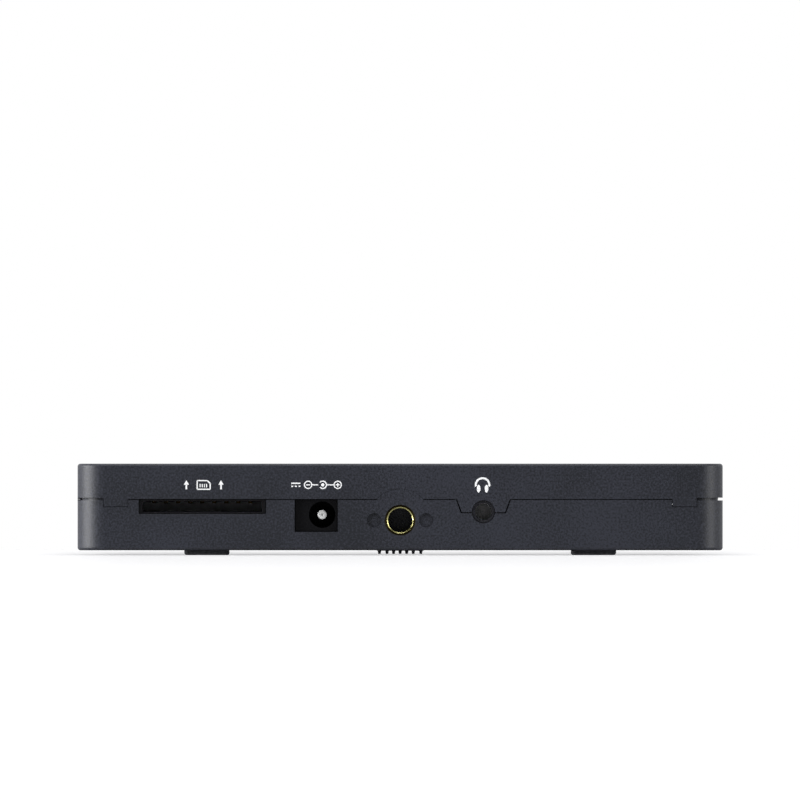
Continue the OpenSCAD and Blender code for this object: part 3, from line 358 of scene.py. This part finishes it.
def print_on_edge(sign, name, x, z, side):
    """Gives the flat sign its film thickness and lays it on one edge of the case. Its top points
    to the screen, on the upper edge too."""
    thicken(sign, INK_T)
    stand_on_edge(sign, x, side * (CASE_EDGE - INK_SUNK), z, side)
    piece = piece_from(sign, name, smooth=False)
    piece.data.materials.append(white_ink)
    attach(piece, "housing")


# Card sign: a card lying down with a cut corner and contact bars, between two insertion arrows
sign = bmesh.new()
card_x, card_y, cut_corner = 1.35, 0.9, 0.6
ink_bar(sign, -card_x, -card_y, -card_x, card_y, CARD_STROKE)
ink_bar(sign, card_x, -card_y, card_x, card_y - cut_corner, CARD_STROKE)
ink_bar(sign, -card_x, -card_y, card_x, -card_y, CARD_STROKE)
ink_bar(sign, -card_x, card_y, card_x - cut_corner, card_y, CARD_STROKE)
ink_bar(sign, card_x - cut_corner, card_y, card_x, card_y - cut_corner, CARD_STROKE)
for x in (-0.75, -0.3, 0.15, 0.6):
    ink_bar(sign, x, -0.5, x, 0.2, 0.2)
for x in (-3.6, 3.6):
    ink_bar(sign, x, -0.9, x, 0.1, 0.34)
    ink_dot(sign, x, 0.36, 0.62, corners=3)
print_on_edge(sign, "card_sign", -40.81, 14.58, -1)

# Power inlet signs: the direct-current sign, and the polarity sign with the pin positive
sign = bmesh.new()
ink_bar(sign, -5.2, 0.32, -3.3, 0.32)
for x in (-5.0, -4.25, -3.5):
    ink_bar(sign, x - 0.2, -0.3, x + 0.2, -0.3)
for x, plus in ((-1.7, False), (4.45, True)):
    ink_arc(sign, x, 0, 0.76, 0, 360, FINE_STROKE)
    ink_bar(sign, x - 0.42, 0, x + 0.42, 0, FINE_STROKE)
    if plus:
        ink_bar(sign, x, 0.11, x, 0.42, FINE_STROKE)
        ink_bar(sign, x, -0.42, x, -0.11, FINE_STROKE)
ink_arc(sign, 1.35, 0, 0.76, -140, 140, 0.24)
ink_dot(sign, 1.35, 0, 0.34)
ink_bar(sign, -0.83, 0, 0.4, 0, FINE_STROKE)
ink_bar(sign, 2.25, 0, 3.58, 0, FINE_STROKE)
print_on_edge(sign, "inlet_sign", -17.42, 14.6, -1)

# Headphone sign: a band over the head and two ear cushions
sign = bmesh.new()
ink_arc(sign, 0, 0.0, 1.42, -12, 192, 0.4)
for side in (-1, 1):
    ink_dot(sign, side * 0.82, -0.75, 0.74, stretch=(0.5, 1.1))
print_on_edge(sign, "headphone_sign", 17.12, 14.56, -1)

# Power sign, a slash, a fingertip that taps, and arrows for a swipe
sign = bmesh.new()
ink_arc(sign, -4.95, -0.1, 0.8, 125, 415)
ink_bar(sign, -4.95, -0.05, -4.95, 0.95)
ink_bar(sign, -3.6, -1.0, -3.0, 1.0, 0.25)
ink_arc(sign, -0.9, 0.1, 0.85, 10, 170, 0.25)
ink_arc(sign, -0.9, 0.1, 0.32, 0, 180, FINE_STROKE)
for side in (-1, 1):
    ink_bar(sign, -0.9 + side * 0.32, 0.1, -0.9 + side * 0.32, -1.0, FINE_STROKE)
    ink_bar(sign, 3.3, 0, 3.3 + side * 1.5, 0, 0.3)
    ink_dot(sign, 3.3 + side * 1.7, 0, 0.72, corners=3, turn=-90 * side)
print_on_edge(sign, "power_touch_sign", -48.9, 14.68, 1)

# Menu sign: three bars between two arrowheads, as the dial turns to either side
sign = bmesh.new()
for y in (-0.72, 0, 0.72):
    ink_bar(sign, -1.15, y, 1.15, y, 0.28)
for side in (-1, 1):
    ink_dot(sign, side * 2.35, 0, 0.85, corners=3, turn=-90 * side)
print_on_edge(sign, "menu_sign", 37.55, 14.62, 1)


# --- Case screws ----------------------------------------------------------------------------
# Four self-cutting steel screws, which draw the rear cover to the front frame. They are rolled,
# blackened and sunk in round seats near the corners.
METAL_SPREAD = 0.07


def metal(name, dark, light, roughness, line_mm, stretch=(1, 1, 1), deep_mm=0.004):
    """Bare or plated metal with tool lines: stretch draws round grain out along one axis."""
    material, tree, place = new_material(name)
    lines = add(tree, "ShaderNodeMapping", {"Vector": place}, Scale=stretch)
    grain = add(tree, "ShaderNodeTexNoise", {"Vector": lines}, Scale=1 / (line_mm * MM), Detail=3)
    stain = add(tree, "ShaderNodeTexNoise", {"Vector": place}, Scale=180, Detail=3)
    patches = add(tree, "ShaderNodeMapRange", {"Value": stain}, From_Min=0.35, From_Max=0.65)
    tint = add(tree, "ShaderNodeMix", {"Factor": patches}, data_type="RGBA", A=dark, B=light)
    rough = add(tree, "ShaderNodeMapRange", {"Value": grain},
                From_Min=NOISE_LOW, From_Max=NOISE_HIGH,
                To_Min=roughness - METAL_SPREAD, To_Max=roughness + METAL_SPREAD)
    relief = add(tree, "ShaderNodeBump", {"Height": grain}, Strength=0.3, Distance=deep_mm * MM)
    finish_material(tree, {"Base Color": tint, "Roughness": rough, "Normal": relief}, Metallic=1)
    return material


# Blackened steel: near black, with a dull oily shine on the edges of the recess
black_steel = metal("steel_black_oxide", "#232427", "#33343a", 0.4, 0.15)
paint(black_steel, "case_screws")


# --- Rubber feet ----------------------------------------------------------------------------
# Four pads pressed from nitrile rubber, with chamfered rims. They are glued into seats in the
# rear cover and keep its plastic off the table.

# Black rubber, painted a dull dark grey lighter than the case as light in the shade under it
rubber = moulded("nitrile_rubber_black", "#36373b", "#444549", 0.66, 0.45, 0.02, gloss=0.3)
paint(rubber, "rubber_feet")


# --- Threaded sockets -----------------------------------------------------------------------
# Brass inserts turned with a countersunk mouth and a quarter-inch thread of 20 turns per inch,
# and moulded into bosses of the rear cover. The thread's roots are painted dark as shade.
THREAD_PITCH = 1.27
CREST_R, ROOT_R, INSERT_R, INSERT_RIM = 2.55, 3.175, 4.0, 0.15
ROOT_SHADE_START_R, ROOT_SHADE_FULL_R = 2.7, 2.8
INSERT_LENGTH, INSERT_MOUTH, INSERT_Z = 6.5, 40.7, 7.25
BORE_R = ROOT_R + 0.02
RIDGE_SUNK, RIDGE_DOWN = 0.03, 0.02
THREAD_TURNS, THREAD_STEPS = 4, 48


def turned(outline, steps=48):
    """Closed body turned about Z from its half-section of (radius, height) points."""
    body = bmesh.new()
    verts = [body.verts.new((radius, 0, height)) for radius, height in outline]
    edges = [body.edges.new(pair) for pair in zip(verts, verts[1:])]
    if outline[0][0] > 0:
        edges.append(body.edges.new((verts[-1], verts[0])))
    bmesh.ops.spin(body, geom=verts + edges, cent=(0, 0, 0), axis=(0, 0, 1), dvec=(0, 0, 0),
                   angle=math.tau, steps=steps, use_merge=True, use_duplicate=False)
    bmesh.ops.remove_doubles(body, verts=body.verts, dist=1e-4)
    bmesh.ops.recalc_face_normals(body, faces=body.faces)
    return body


def shade_by_angle(piece, degrees=35):
    """Keeps machined edges crisp and round faces smooth."""
    mesh = piece.data
    shaper = bmesh.new()
    shaper.from_mesh(mesh)
    for edge in shaper.edges:
        edge.smooth = len(edge.link_faces) != 2 or edge.calc_face_angle(0) < math.radians(degrees)
    shaper.to_mesh(mesh)
    shaper.free()


# Turned brass: greenish yellow on the crests, painted dark brown in the roots as shade
brass, tree, place = new_material("brass_turned")
from_axis = add(tree, "ShaderNodeVectorMath", {0: place}, operation="SUBTRACT",
                input_1=(0, 0, INSERT_Z * MM))
across = add(tree, "ShaderNodeVectorMath", {0: from_axis}, operation="MULTIPLY",
             input_1=(1, 0, 1))
radius = add(tree, "ShaderNodeVectorMath", {0: across}, operation="LENGTH")
# Painted shade: the colour darkens from the crests towards the roots of the thread
painted_root_shade = add(tree, "ShaderNodeMapRange", {"Value": radius.outputs["Value"]},
           From_Min=ROOT_SHADE_START_R * MM, From_Max=ROOT_SHADE_FULL_R * MM)
tarnish = add(tree, "ShaderNodeTexNoise", {"Vector": place}, Scale=1 / (0.4 * MM), Detail=3)
bright_tint = add(tree, "ShaderNodeMix", {"Factor": tarnish}, data_type="RGBA",
                  A="#d2cb80", B="#e9e5a6")
tint = add(tree, "ShaderNodeMix", {"Factor": painted_root_shade, "A": bright_tint}, data_type="RGBA",
           B="#2a2414")
rough = add(tree, "ShaderNodeMapRange", {"Value": painted_root_shade}, To_Min=0.3, To_Max=0.6)
finish_material(tree, {"Base Color": tint, "Roughness": rough}, Metallic=1)

for name, node, side in (("threaded_socket_lower", "tripod_socket_bottom", -1),
                         ("threaded_socket_upper", "tripod_socket_top", 1)):
    body = turned([(BORE_R, 0), (INSERT_R - INSERT_RIM, 0), (INSERT_R, -INSERT_RIM),
                   (INSERT_R, INSERT_RIM - INSERT_LENGTH), (INSERT_R - INSERT_RIM, -INSERT_LENGTH),
                   (BORE_R, -INSERT_LENGTH)], steps=72)
    # The thread's ridge, swept down the bore
    flat = THREAD_PITCH / 16
    foot = THREAD_PITCH / 2 - flat
    ridge = [body.verts.new((radius, 0, height - foot - RIDGE_DOWN)) for radius, height in
             ((BORE_R + RIDGE_SUNK, foot), (CREST_R, flat), (CREST_R, -flat),
              (BORE_R + RIDGE_SUNK, -foot))]
    face = body.faces.new(ridge)
    bmesh.ops.spin(body, geom=ridge + list(face.edges) + [face], cent=(0, 0, 0), axis=(0, 0, 1),
                   dvec=(0, 0, -THREAD_PITCH / THREAD_STEPS), angle=math.tau * THREAD_TURNS,
                   steps=THREAD_TURNS * THREAD_STEPS, use_merge=False, use_duplicate=False)
    bmesh.ops.recalc_face_normals(body, faces=body.faces)
    stand_on_edge(body, 0, side * INSERT_MOUTH, INSERT_Z, side)
    insert = piece_from(body, name)
    shade_by_angle(insert, 25)
    insert.data.materials.append(brass)
    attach(insert, "housing")
    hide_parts(node)


# --- Main board -----------------------------------------------------------------------------
# A board of glass fibre and epoxy with etched copper tracks under a green lacquer, screwed to the
# front frame by four screws. The processor's heat goes through a soft pad to a folded sheet.
TRACK_PITCH, TRACK_FIELD = 0.7, 5.5
TRACK_EDGE, TRACK_FLAT = 0.1, 0.14
VIAS_PER_MM, VIA_R, VIA_HALF_RING = 0.3, 0.1, 0.04

# Solder mask: a glossy deep green, lighter over the tracks, which run in fields of either
# direction at twice their real pitch so that they show, with tinned rings where a track changes
# sides
board, tree, place = new_material("FR4_solder_mask_green")
in_mm = add(tree, "ShaderNodeVectorMath", {0: place}, operation="SCALE", Scale=1 / MM)
fields = add(tree, "ShaderNodeVectorMath", {0: in_mm}, operation="SNAP",
             input_1=(TRACK_FIELD,) * 3)
lot = add(tree, "ShaderNodeTexWhiteNoise", {"Vector": fields}, noise_dimensions="3D")
along = add(tree, "ShaderNodeSeparateXYZ", {"Vector": in_mm})
one_way = add(tree, "ShaderNodeMath", {0: along.outputs["X"]}, operation="PINGPONG",
              input_1=TRACK_PITCH / 2)
other_way = add(tree, "ShaderNodeMath", {0: along.outputs["Y"]}, operation="PINGPONG",
                input_1=TRACK_PITCH / 2)
pick = add(tree, "ShaderNodeMath", {0: lot.outputs["Value"]}, operation="GREATER_THAN",
           input_1=0.5)
ways = add(tree, "ShaderNodeMix", {"Factor": pick, "A": one_way, "B": other_way},
           data_type="FLOAT")
track = add(tree, "ShaderNodeMapRange", {"Value": ways},
            From_Min=TRACK_EDGE, From_Max=TRACK_FLAT)
via_place = add(tree, "ShaderNodeTexVoronoi", {"Vector": in_mm}, Scale=VIAS_PER_MM)
ring = add(tree, "ShaderNodeMath", {0: via_place.outputs["Distance"]}, operation="COMPARE",
           input_1=VIA_R, input_2=VIA_HALF_RING)
mask = add(tree, "ShaderNodeMix", {"Factor": track}, data_type="RGBA", A="#1a5c38", B="#0d3f24")
tint = add(tree, "ShaderNodeMix", {"Factor": ring, "A": mask}, data_type="RGBA", B="#b9b6a4")
relief = add(tree, "ShaderNodeBump", {"Height": track}, Strength=0.4, Distance=0.03 * MM,
             invert=True)
finish_material(tree, {"Base Color": tint, "Normal": relief}, Roughness=0.3, IOR=1.5)
paint(board, "main_board")

# Moulded epoxy of the chips: dead matt black with a fine sandy grain
epoxy = moulded("epoxy_mould_compound_black", "#131315", "#1d1d20", 0.6, 0.3, 0.012, gloss=0.3)
paint(epoxy, "processor", "memory_chips")

# Silicone pad: soft, dull and blue grey, with a faint mottle of its ceramic filler
silicone = moulded("silicone_pad_grey_blue", "#7d90a1", "#93a6b7", 0.62, 0.5, 0.02)
paint(silicone, "thermal_pad")

# Rolled aluminium sheet: pale, with fine lines along the rolling direction. The lines are 0.03 mm
# apart and are drawn at 0.12 mm.
aluminium = metal("aluminium_sheet_brushed", "#b3b6ba", "#c9cccf", 0.35, 0.12, (0.04, 1, 1))
paint(aluminium, "heat_spreader")

# Zinc-plated steel: bright bluish grey with soft tool lines
steel = metal("steel_zinc_plated", "#a9adb2", "#c3c6ca", 0.3, 0.15, (1, 1, 0.1))
paint(steel, "board_screws")


# --- Memory card slot -----------------------------------------------------------------------
# A card socket moulded in black PBT stands on the board and fills the opening of the lower edge.
# Nine sprung contacts of gold-plated bronze lie deep inside, under the roof.

# Glass-filled PBT: near black, duller than the case, with a faint mottle of the fibres
socket_plastic = moulded("PBT_glass_filled_black", "#070709", "#0c0c0f", 0.52, 0.4, 0.012,
                         gloss=0.1)

# The same black plastic in front, and a pale grey painted at the back of the slot as light in
# its deep shade
slot_plastic = moulded("PBT_black_painted_light_at_back", "#0a0a0d", "#101014", 0.52, 0.4, 0.012,
                       gloss=0.15, painted_light_inside="#e2e3e8", inside_from_mm=-37)
paint(slot_plastic, "sd_card_slot")

# Gold plating painted a dark brown, as the shade deep in the slot
gold_painted_shade = metal("bronze_gold_plated_painted_shade", "#3a2f16", "#4b3d1f", 0.45, 0.12, (1, 0.1, 1))
paint(gold_painted_shade, "sd_contacts")


# --- Power inlet ----------------------------------------------------------------------------
# A jack for a plug of 5.5 by 2.1 mm, moulded in black PBT. Its pin is turned from brass, drilled
# at the end, nickel-plated, and pressed into the body.
PIN_R, PIN_LENGTH, PIN_RIM = 1.0, 11, 0.22
PIN_HOLE_R, PIN_HOLE_RIM, PIN_HOLE_DEEP = 0.2, 0.1, 0.8
PIN_X, PIN_Z, PIN_TIP_Y = -16.2, 8.41, -40.2

paint(socket_plastic, "dc_jack")
pin_body = turned([(0, -PIN_HOLE_DEEP), (PIN_HOLE_R, -PIN_HOLE_DEEP),
                   (PIN_HOLE_R, -PIN_HOLE_RIM), (PIN_HOLE_R + PIN_HOLE_RIM, 0),
                   (PIN_R - PIN_RIM, 0), (PIN_R - PIN_RIM * 0.3, -PIN_RIM * 0.3),
                   (PIN_R, -PIN_RIM), (PIN_R, -PIN_LENGTH), (0, -PIN_LENGTH)])
stand_on_edge(pin_body, PIN_X, PIN_TIP_Y, PIN_Z, -1)
pin = piece_from(pin_body, "inlet_pin_turned")
shade_by_angle(pin)
# Nickel over turned brass: a warm silver with rings too fine to see one by one
pin_nickel = metal("brass_nickel_plated", "#e6e6e7", "#f6f6f6", 0.6, 0.12, (1, 0.1, 1))
pin.data.materials.append(pin_nickel)
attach(pin, "housing")
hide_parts("dc_pin")


# --- Headphone jack -------------------------------------------------------------------------
# A 3.5 mm jack with its body and round nose moulded in one piece. It stands on the board, and the
# nose fills the hole on the seam.

# PBT with less pigment: a dark grey a little lighter than the other sockets. The end of the bore
# is painted pale as light in its shade, so that it looks dark grey and not black.
jack_plastic = moulded("PBT_glass_filled_dark_grey", "#1b1c20", "#232429", 0.52, 0.4, 0.012,
                       gloss=0.2, painted_light_inside="#f2f2f3", inside_from_mm=-39.8)
paint(jack_plastic, "headphone_jack")


# --- Video sockets --------------------------------------------------------------------------
# Shells stamped from steel strip and nickel-plated, with cores of black PBT. Each tongue carries
# rows of gold-plated contacts, ten above and nine below, 1 mm apart.
VIDEO_YS = (-10.0, 12.0)
TONGUE_FRONT, TONGUE_LOW, TONGUE_TOP = -65.3, 9.15, 10.55
CONTACT_W, CONTACT_LENGTH, CONTACT_T, CONTACT_PITCH = 0.42, 6.5, 0.05, 1.0
CONTACT_IN, CONTACT_ROUND = 0.4, 0.04

# Nickel-plated steel: a faintly warm silver with fine drawing lines
nickel = metal("steel_nickel_plated", "#b4b2ac", "#cbc9c3", 0.25, 0.15, (0.1, 1, 1))
paint(nickel, "hdmi_in", "hdmi_out")
paint(socket_plastic, "hdmi_inserts")

# Gold over nickel: bright warm yellow with a soft shine
gold = metal("bronze_gold_plated", "#c79a3c", "#e0b65a", 0.25, 0.12, (0.1, 1, 1))
contacts = bmesh.new()
for socket_y in VIDEO_YS:
    for count, z in ((10, TONGUE_TOP), (9, TONGUE_LOW)):
        for i in range(count):
            y = socket_y + (i - (count - 1) / 2) * CONTACT_PITCH
            middle = (TONGUE_FRONT + CONTACT_IN + CONTACT_LENGTH / 2, y, z)
            lay = (Matrix.Translation(middle)
                   @ Matrix.Diagonal((CONTACT_LENGTH, CONTACT_W, 2 * CONTACT_T, 1)))
            bar = bmesh.ops.create_cube(contacts, size=1, matrix=lay)["verts"]
            # Rounded noses, so that a plug slides over them
            nose = [edge for edge in {edge for vert in bar for edge in vert.link_edges}
                    if all(vert.co.x < middle[0] for vert in edge.verts)
                    and abs(edge.verts[0].co.y - edge.verts[1].co.y) > CONTACT_W / 2]
            bmesh.ops.bevel(contacts, geom=nose, offset=CONTACT_ROUND, offset_type="OFFSET",
                            segments=2, affect="EDGES", profile=0.5, material=-1)
bmesh.ops.scale(contacts, vec=(MM, MM, MM), verts=contacts.verts)
contacts = piece_from(contacts, "video_contacts")
shade_by_angle(contacts)
contacts.data.materials.append(gold)
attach(contacts, "housing")


# --- Power button ---------------------------------------------------------------------------
# The cap is moulded from the same ABS as the case and slides in its opening. Behind it an acetal
# plunger presses a small switch on the board.
paint(case_plastic, "power_button")
paint(socket_plastic, "power_switch")

# Unpigmented acetal: waxy white with a soft sheen
acetal = moulded("acetal_natural_white", "#cfd0cc", "#dcdcd8", 0.4, 0.5, 0.01, flow_scale=90)
paint(acetal, "switch_plunger")


# --- Menu dial ------------------------------------------------------------------------------
# A knurled ABS wheel on a steel axle. It turns in an acetal fork, which slides back against a
# spring when the wheel is pushed, on to the encoder's switch.

# Satin black ABS: the rib tips are a little shiny from fingertips, the grooves stay dark
dial_plastic = moulded("ABS_satin_black", "#1c1d20", "#27282c", 0.38, 0.35, 0.015)
paint(dial_plastic, "menu_dial")
paint(steel, "dial_axle", "dial_spring")
paint(acetal, "dial_carriage")
paint(socket_plastic, "dial_encoder")


# --- Battery bay ----------------------------------------------------------------------------
# The battery slides on to four gold-plated blades, which stand in a block of black PBT and run
# through the floor of the bay to the board.
paint(socket_plastic, "contact_block")
paint(gold, "battery_terminals")


# --- Battery latch --------------------------------------------------------------------------
# The release button, its ribs, arm and tooth are one moulding of satin black ABS. Two coil
# springs lift it, and a steel bracket with two screws holds it in the rear cover.
paint(dial_plastic, "battery_latch")
paint(steel, "latch_springs", "latch_bracket", "bracket_screws")


# --- Screen ---------------------------------------------------------------------------------
# Toughened cover glass with ground edges, printed black round the picture, on foam tape. Behind
# it lie the cell with its polariser, and the backlight, each with a flat cable to the board.
GLASS_W, GLASS_H, GLASS_CORNER, GLASS_RIM = 131.8, 81.8, 4.4, 0.18
GLASS_LOW, GLASS_TOP = 17.59, 18.7
PICTURE_W, PICTURE_H, PICTURE_CORNER = 121.0, 68.1, 0.4
BORDER_IN, BORDER_Z, BORDER_T = 0.3, 17.63, 0.02


def rounded_face(builder, w, h, r, z, steps=8):
    """Flat face with round corners, in millimetres."""
    lay = Matrix.Translation((0, 0, z)) @ Matrix.Diagonal((w, h, 1, 1))
    corners = bmesh.ops.create_grid(builder, x_segments=1, y_segments=1, size=0.5, matrix=lay)
    bmesh.ops.bevel(builder, geom=corners["verts"], offset=r, offset_type="OFFSET",
                    segments=steps, affect="VERTICES", profile=0.5, material=-1)


# Toughened glass: clear and faintly green, with the last wipe showing as a slight change of
# gloss
glass, tree, place = new_material("glass_toughened")
wipe = add(tree, "ShaderNodeTexNoise", {"Vector": place}, Scale=60, Detail=4)
smear = add(tree, "ShaderNodeMapRange", {"Value": wipe},
            From_Min=NOISE_LOW, From_Max=NOISE_HIGH, To_Min=0.02, To_Max=0.06)
finish_material(tree, {"Roughness": smear}, Base_Color="#eef4f2", IOR=1.52,
                Transmission_Weight=1.0)

pane = bmesh.new()
rounded_face(pane, GLASS_W, GLASS_H, GLASS_CORNER, GLASS_LOW)
thicken(pane, GLASS_TOP - GLASS_LOW)
bmesh.ops.recalc_face_normals(pane, faces=pane.faces)
rim_edges = [edge for edge in pane.edges
             if abs(edge.verts[0].co.z - edge.verts[1].co.z) < 1e-6]
bmesh.ops.bevel(pane, geom=rim_edges, offset=GLASS_RIM, offset_type="OFFSET", segments=3,
                affect="EDGES", profile=0.5, material=-1)
bmesh.ops.scale(pane, vec=(MM, MM, MM), verts=pane.verts)
pane = piece_from(pane, "cover_glass_pane")
shade_by_angle(pane, 30)
pane.data.materials.append(glass)
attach(pane, "housing")
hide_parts("cover_glass")
flagged.objects.link(pane)
for member in flagged.collection_objects:
    member.light_linking.link_state = "EXCLUDE"

# Enamel on the back of the glass: as it touches the glass it has no gloss of its own, and the
# eye sees deep black round the picture
enamel, tree, place = new_material("enamel_print_black")
speck = add(tree, "ShaderNodeTexNoise", {"Vector": place}, Scale=1 / (0.6 * MM), Detail=2)
tint = add(tree, "ShaderNodeMix", {"Factor": speck}, data_type="RGBA", A="#040405", B="#070708")
finish_material(tree, {"Base Color": tint}, Roughness=0.6, IOR=1.5, Specular_IOR_Level=0.0)
border = bmesh.new()
rounded_face(border, GLASS_W - 2 * BORDER_IN, GLASS_H - 2 * BORDER_IN, GLASS_CORNER - BORDER_IN,
             BORDER_Z)
rounded_face(border, PICTURE_W, PICTURE_H, PICTURE_CORNER, BORDER_Z, steps=3)
bmesh.ops.delete(border, geom=list(border.faces), context="FACES_ONLY")
bmesh.ops.bridge_loops(border, edges=list(border.edges))
thicken(border, BORDER_T)
bmesh.ops.scale(border, vec=(MM, MM, MM), verts=border.verts)
border = piece_from(border, "glass_print_border", smooth=False)
border.data.materials.append(enamel)
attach(border, "housing")

# Polariser of an unlit cell: bonded to the glass, so only its own deep blue black shows
panel, tree, place = new_material("polariser_film_dark")
cloud = add(tree, "ShaderNodeTexNoise", {"Vector": place}, Scale=25, Detail=1)
tint = add(tree, "ShaderNodeMix", {"Factor": cloud}, data_type="RGBA", A="#181b22", B="#1c1f27")
finish_material(tree, {"Base Color": tint}, Roughness=0.5, IOR=1.5, Specular_IOR_Level=0.0)
paint(panel, "lcd_panel")

# White diffuser film in a white frame: evenly matt
film = moulded("backlight_film_white", "#dfe1e2", "#eceded", 0.5, 0.6, 0.005)
paint(film, "backlight")

# Black foam tape: dull, with an open grain
tape = moulded("foam_tape_black", "#121314", "#1c1d1f", 0.8, 0.5, 0.05)
paint(tape, "glass_tape", "lcd_tape")

# Polyimide film over copper: a glossy amber
flex = moulded("polyimide_flex_amber", "#8a4f17", "#a4621f", 0.35, 0.6, 0.005)
paint(flex, "lcd_flex", "touch_flex")
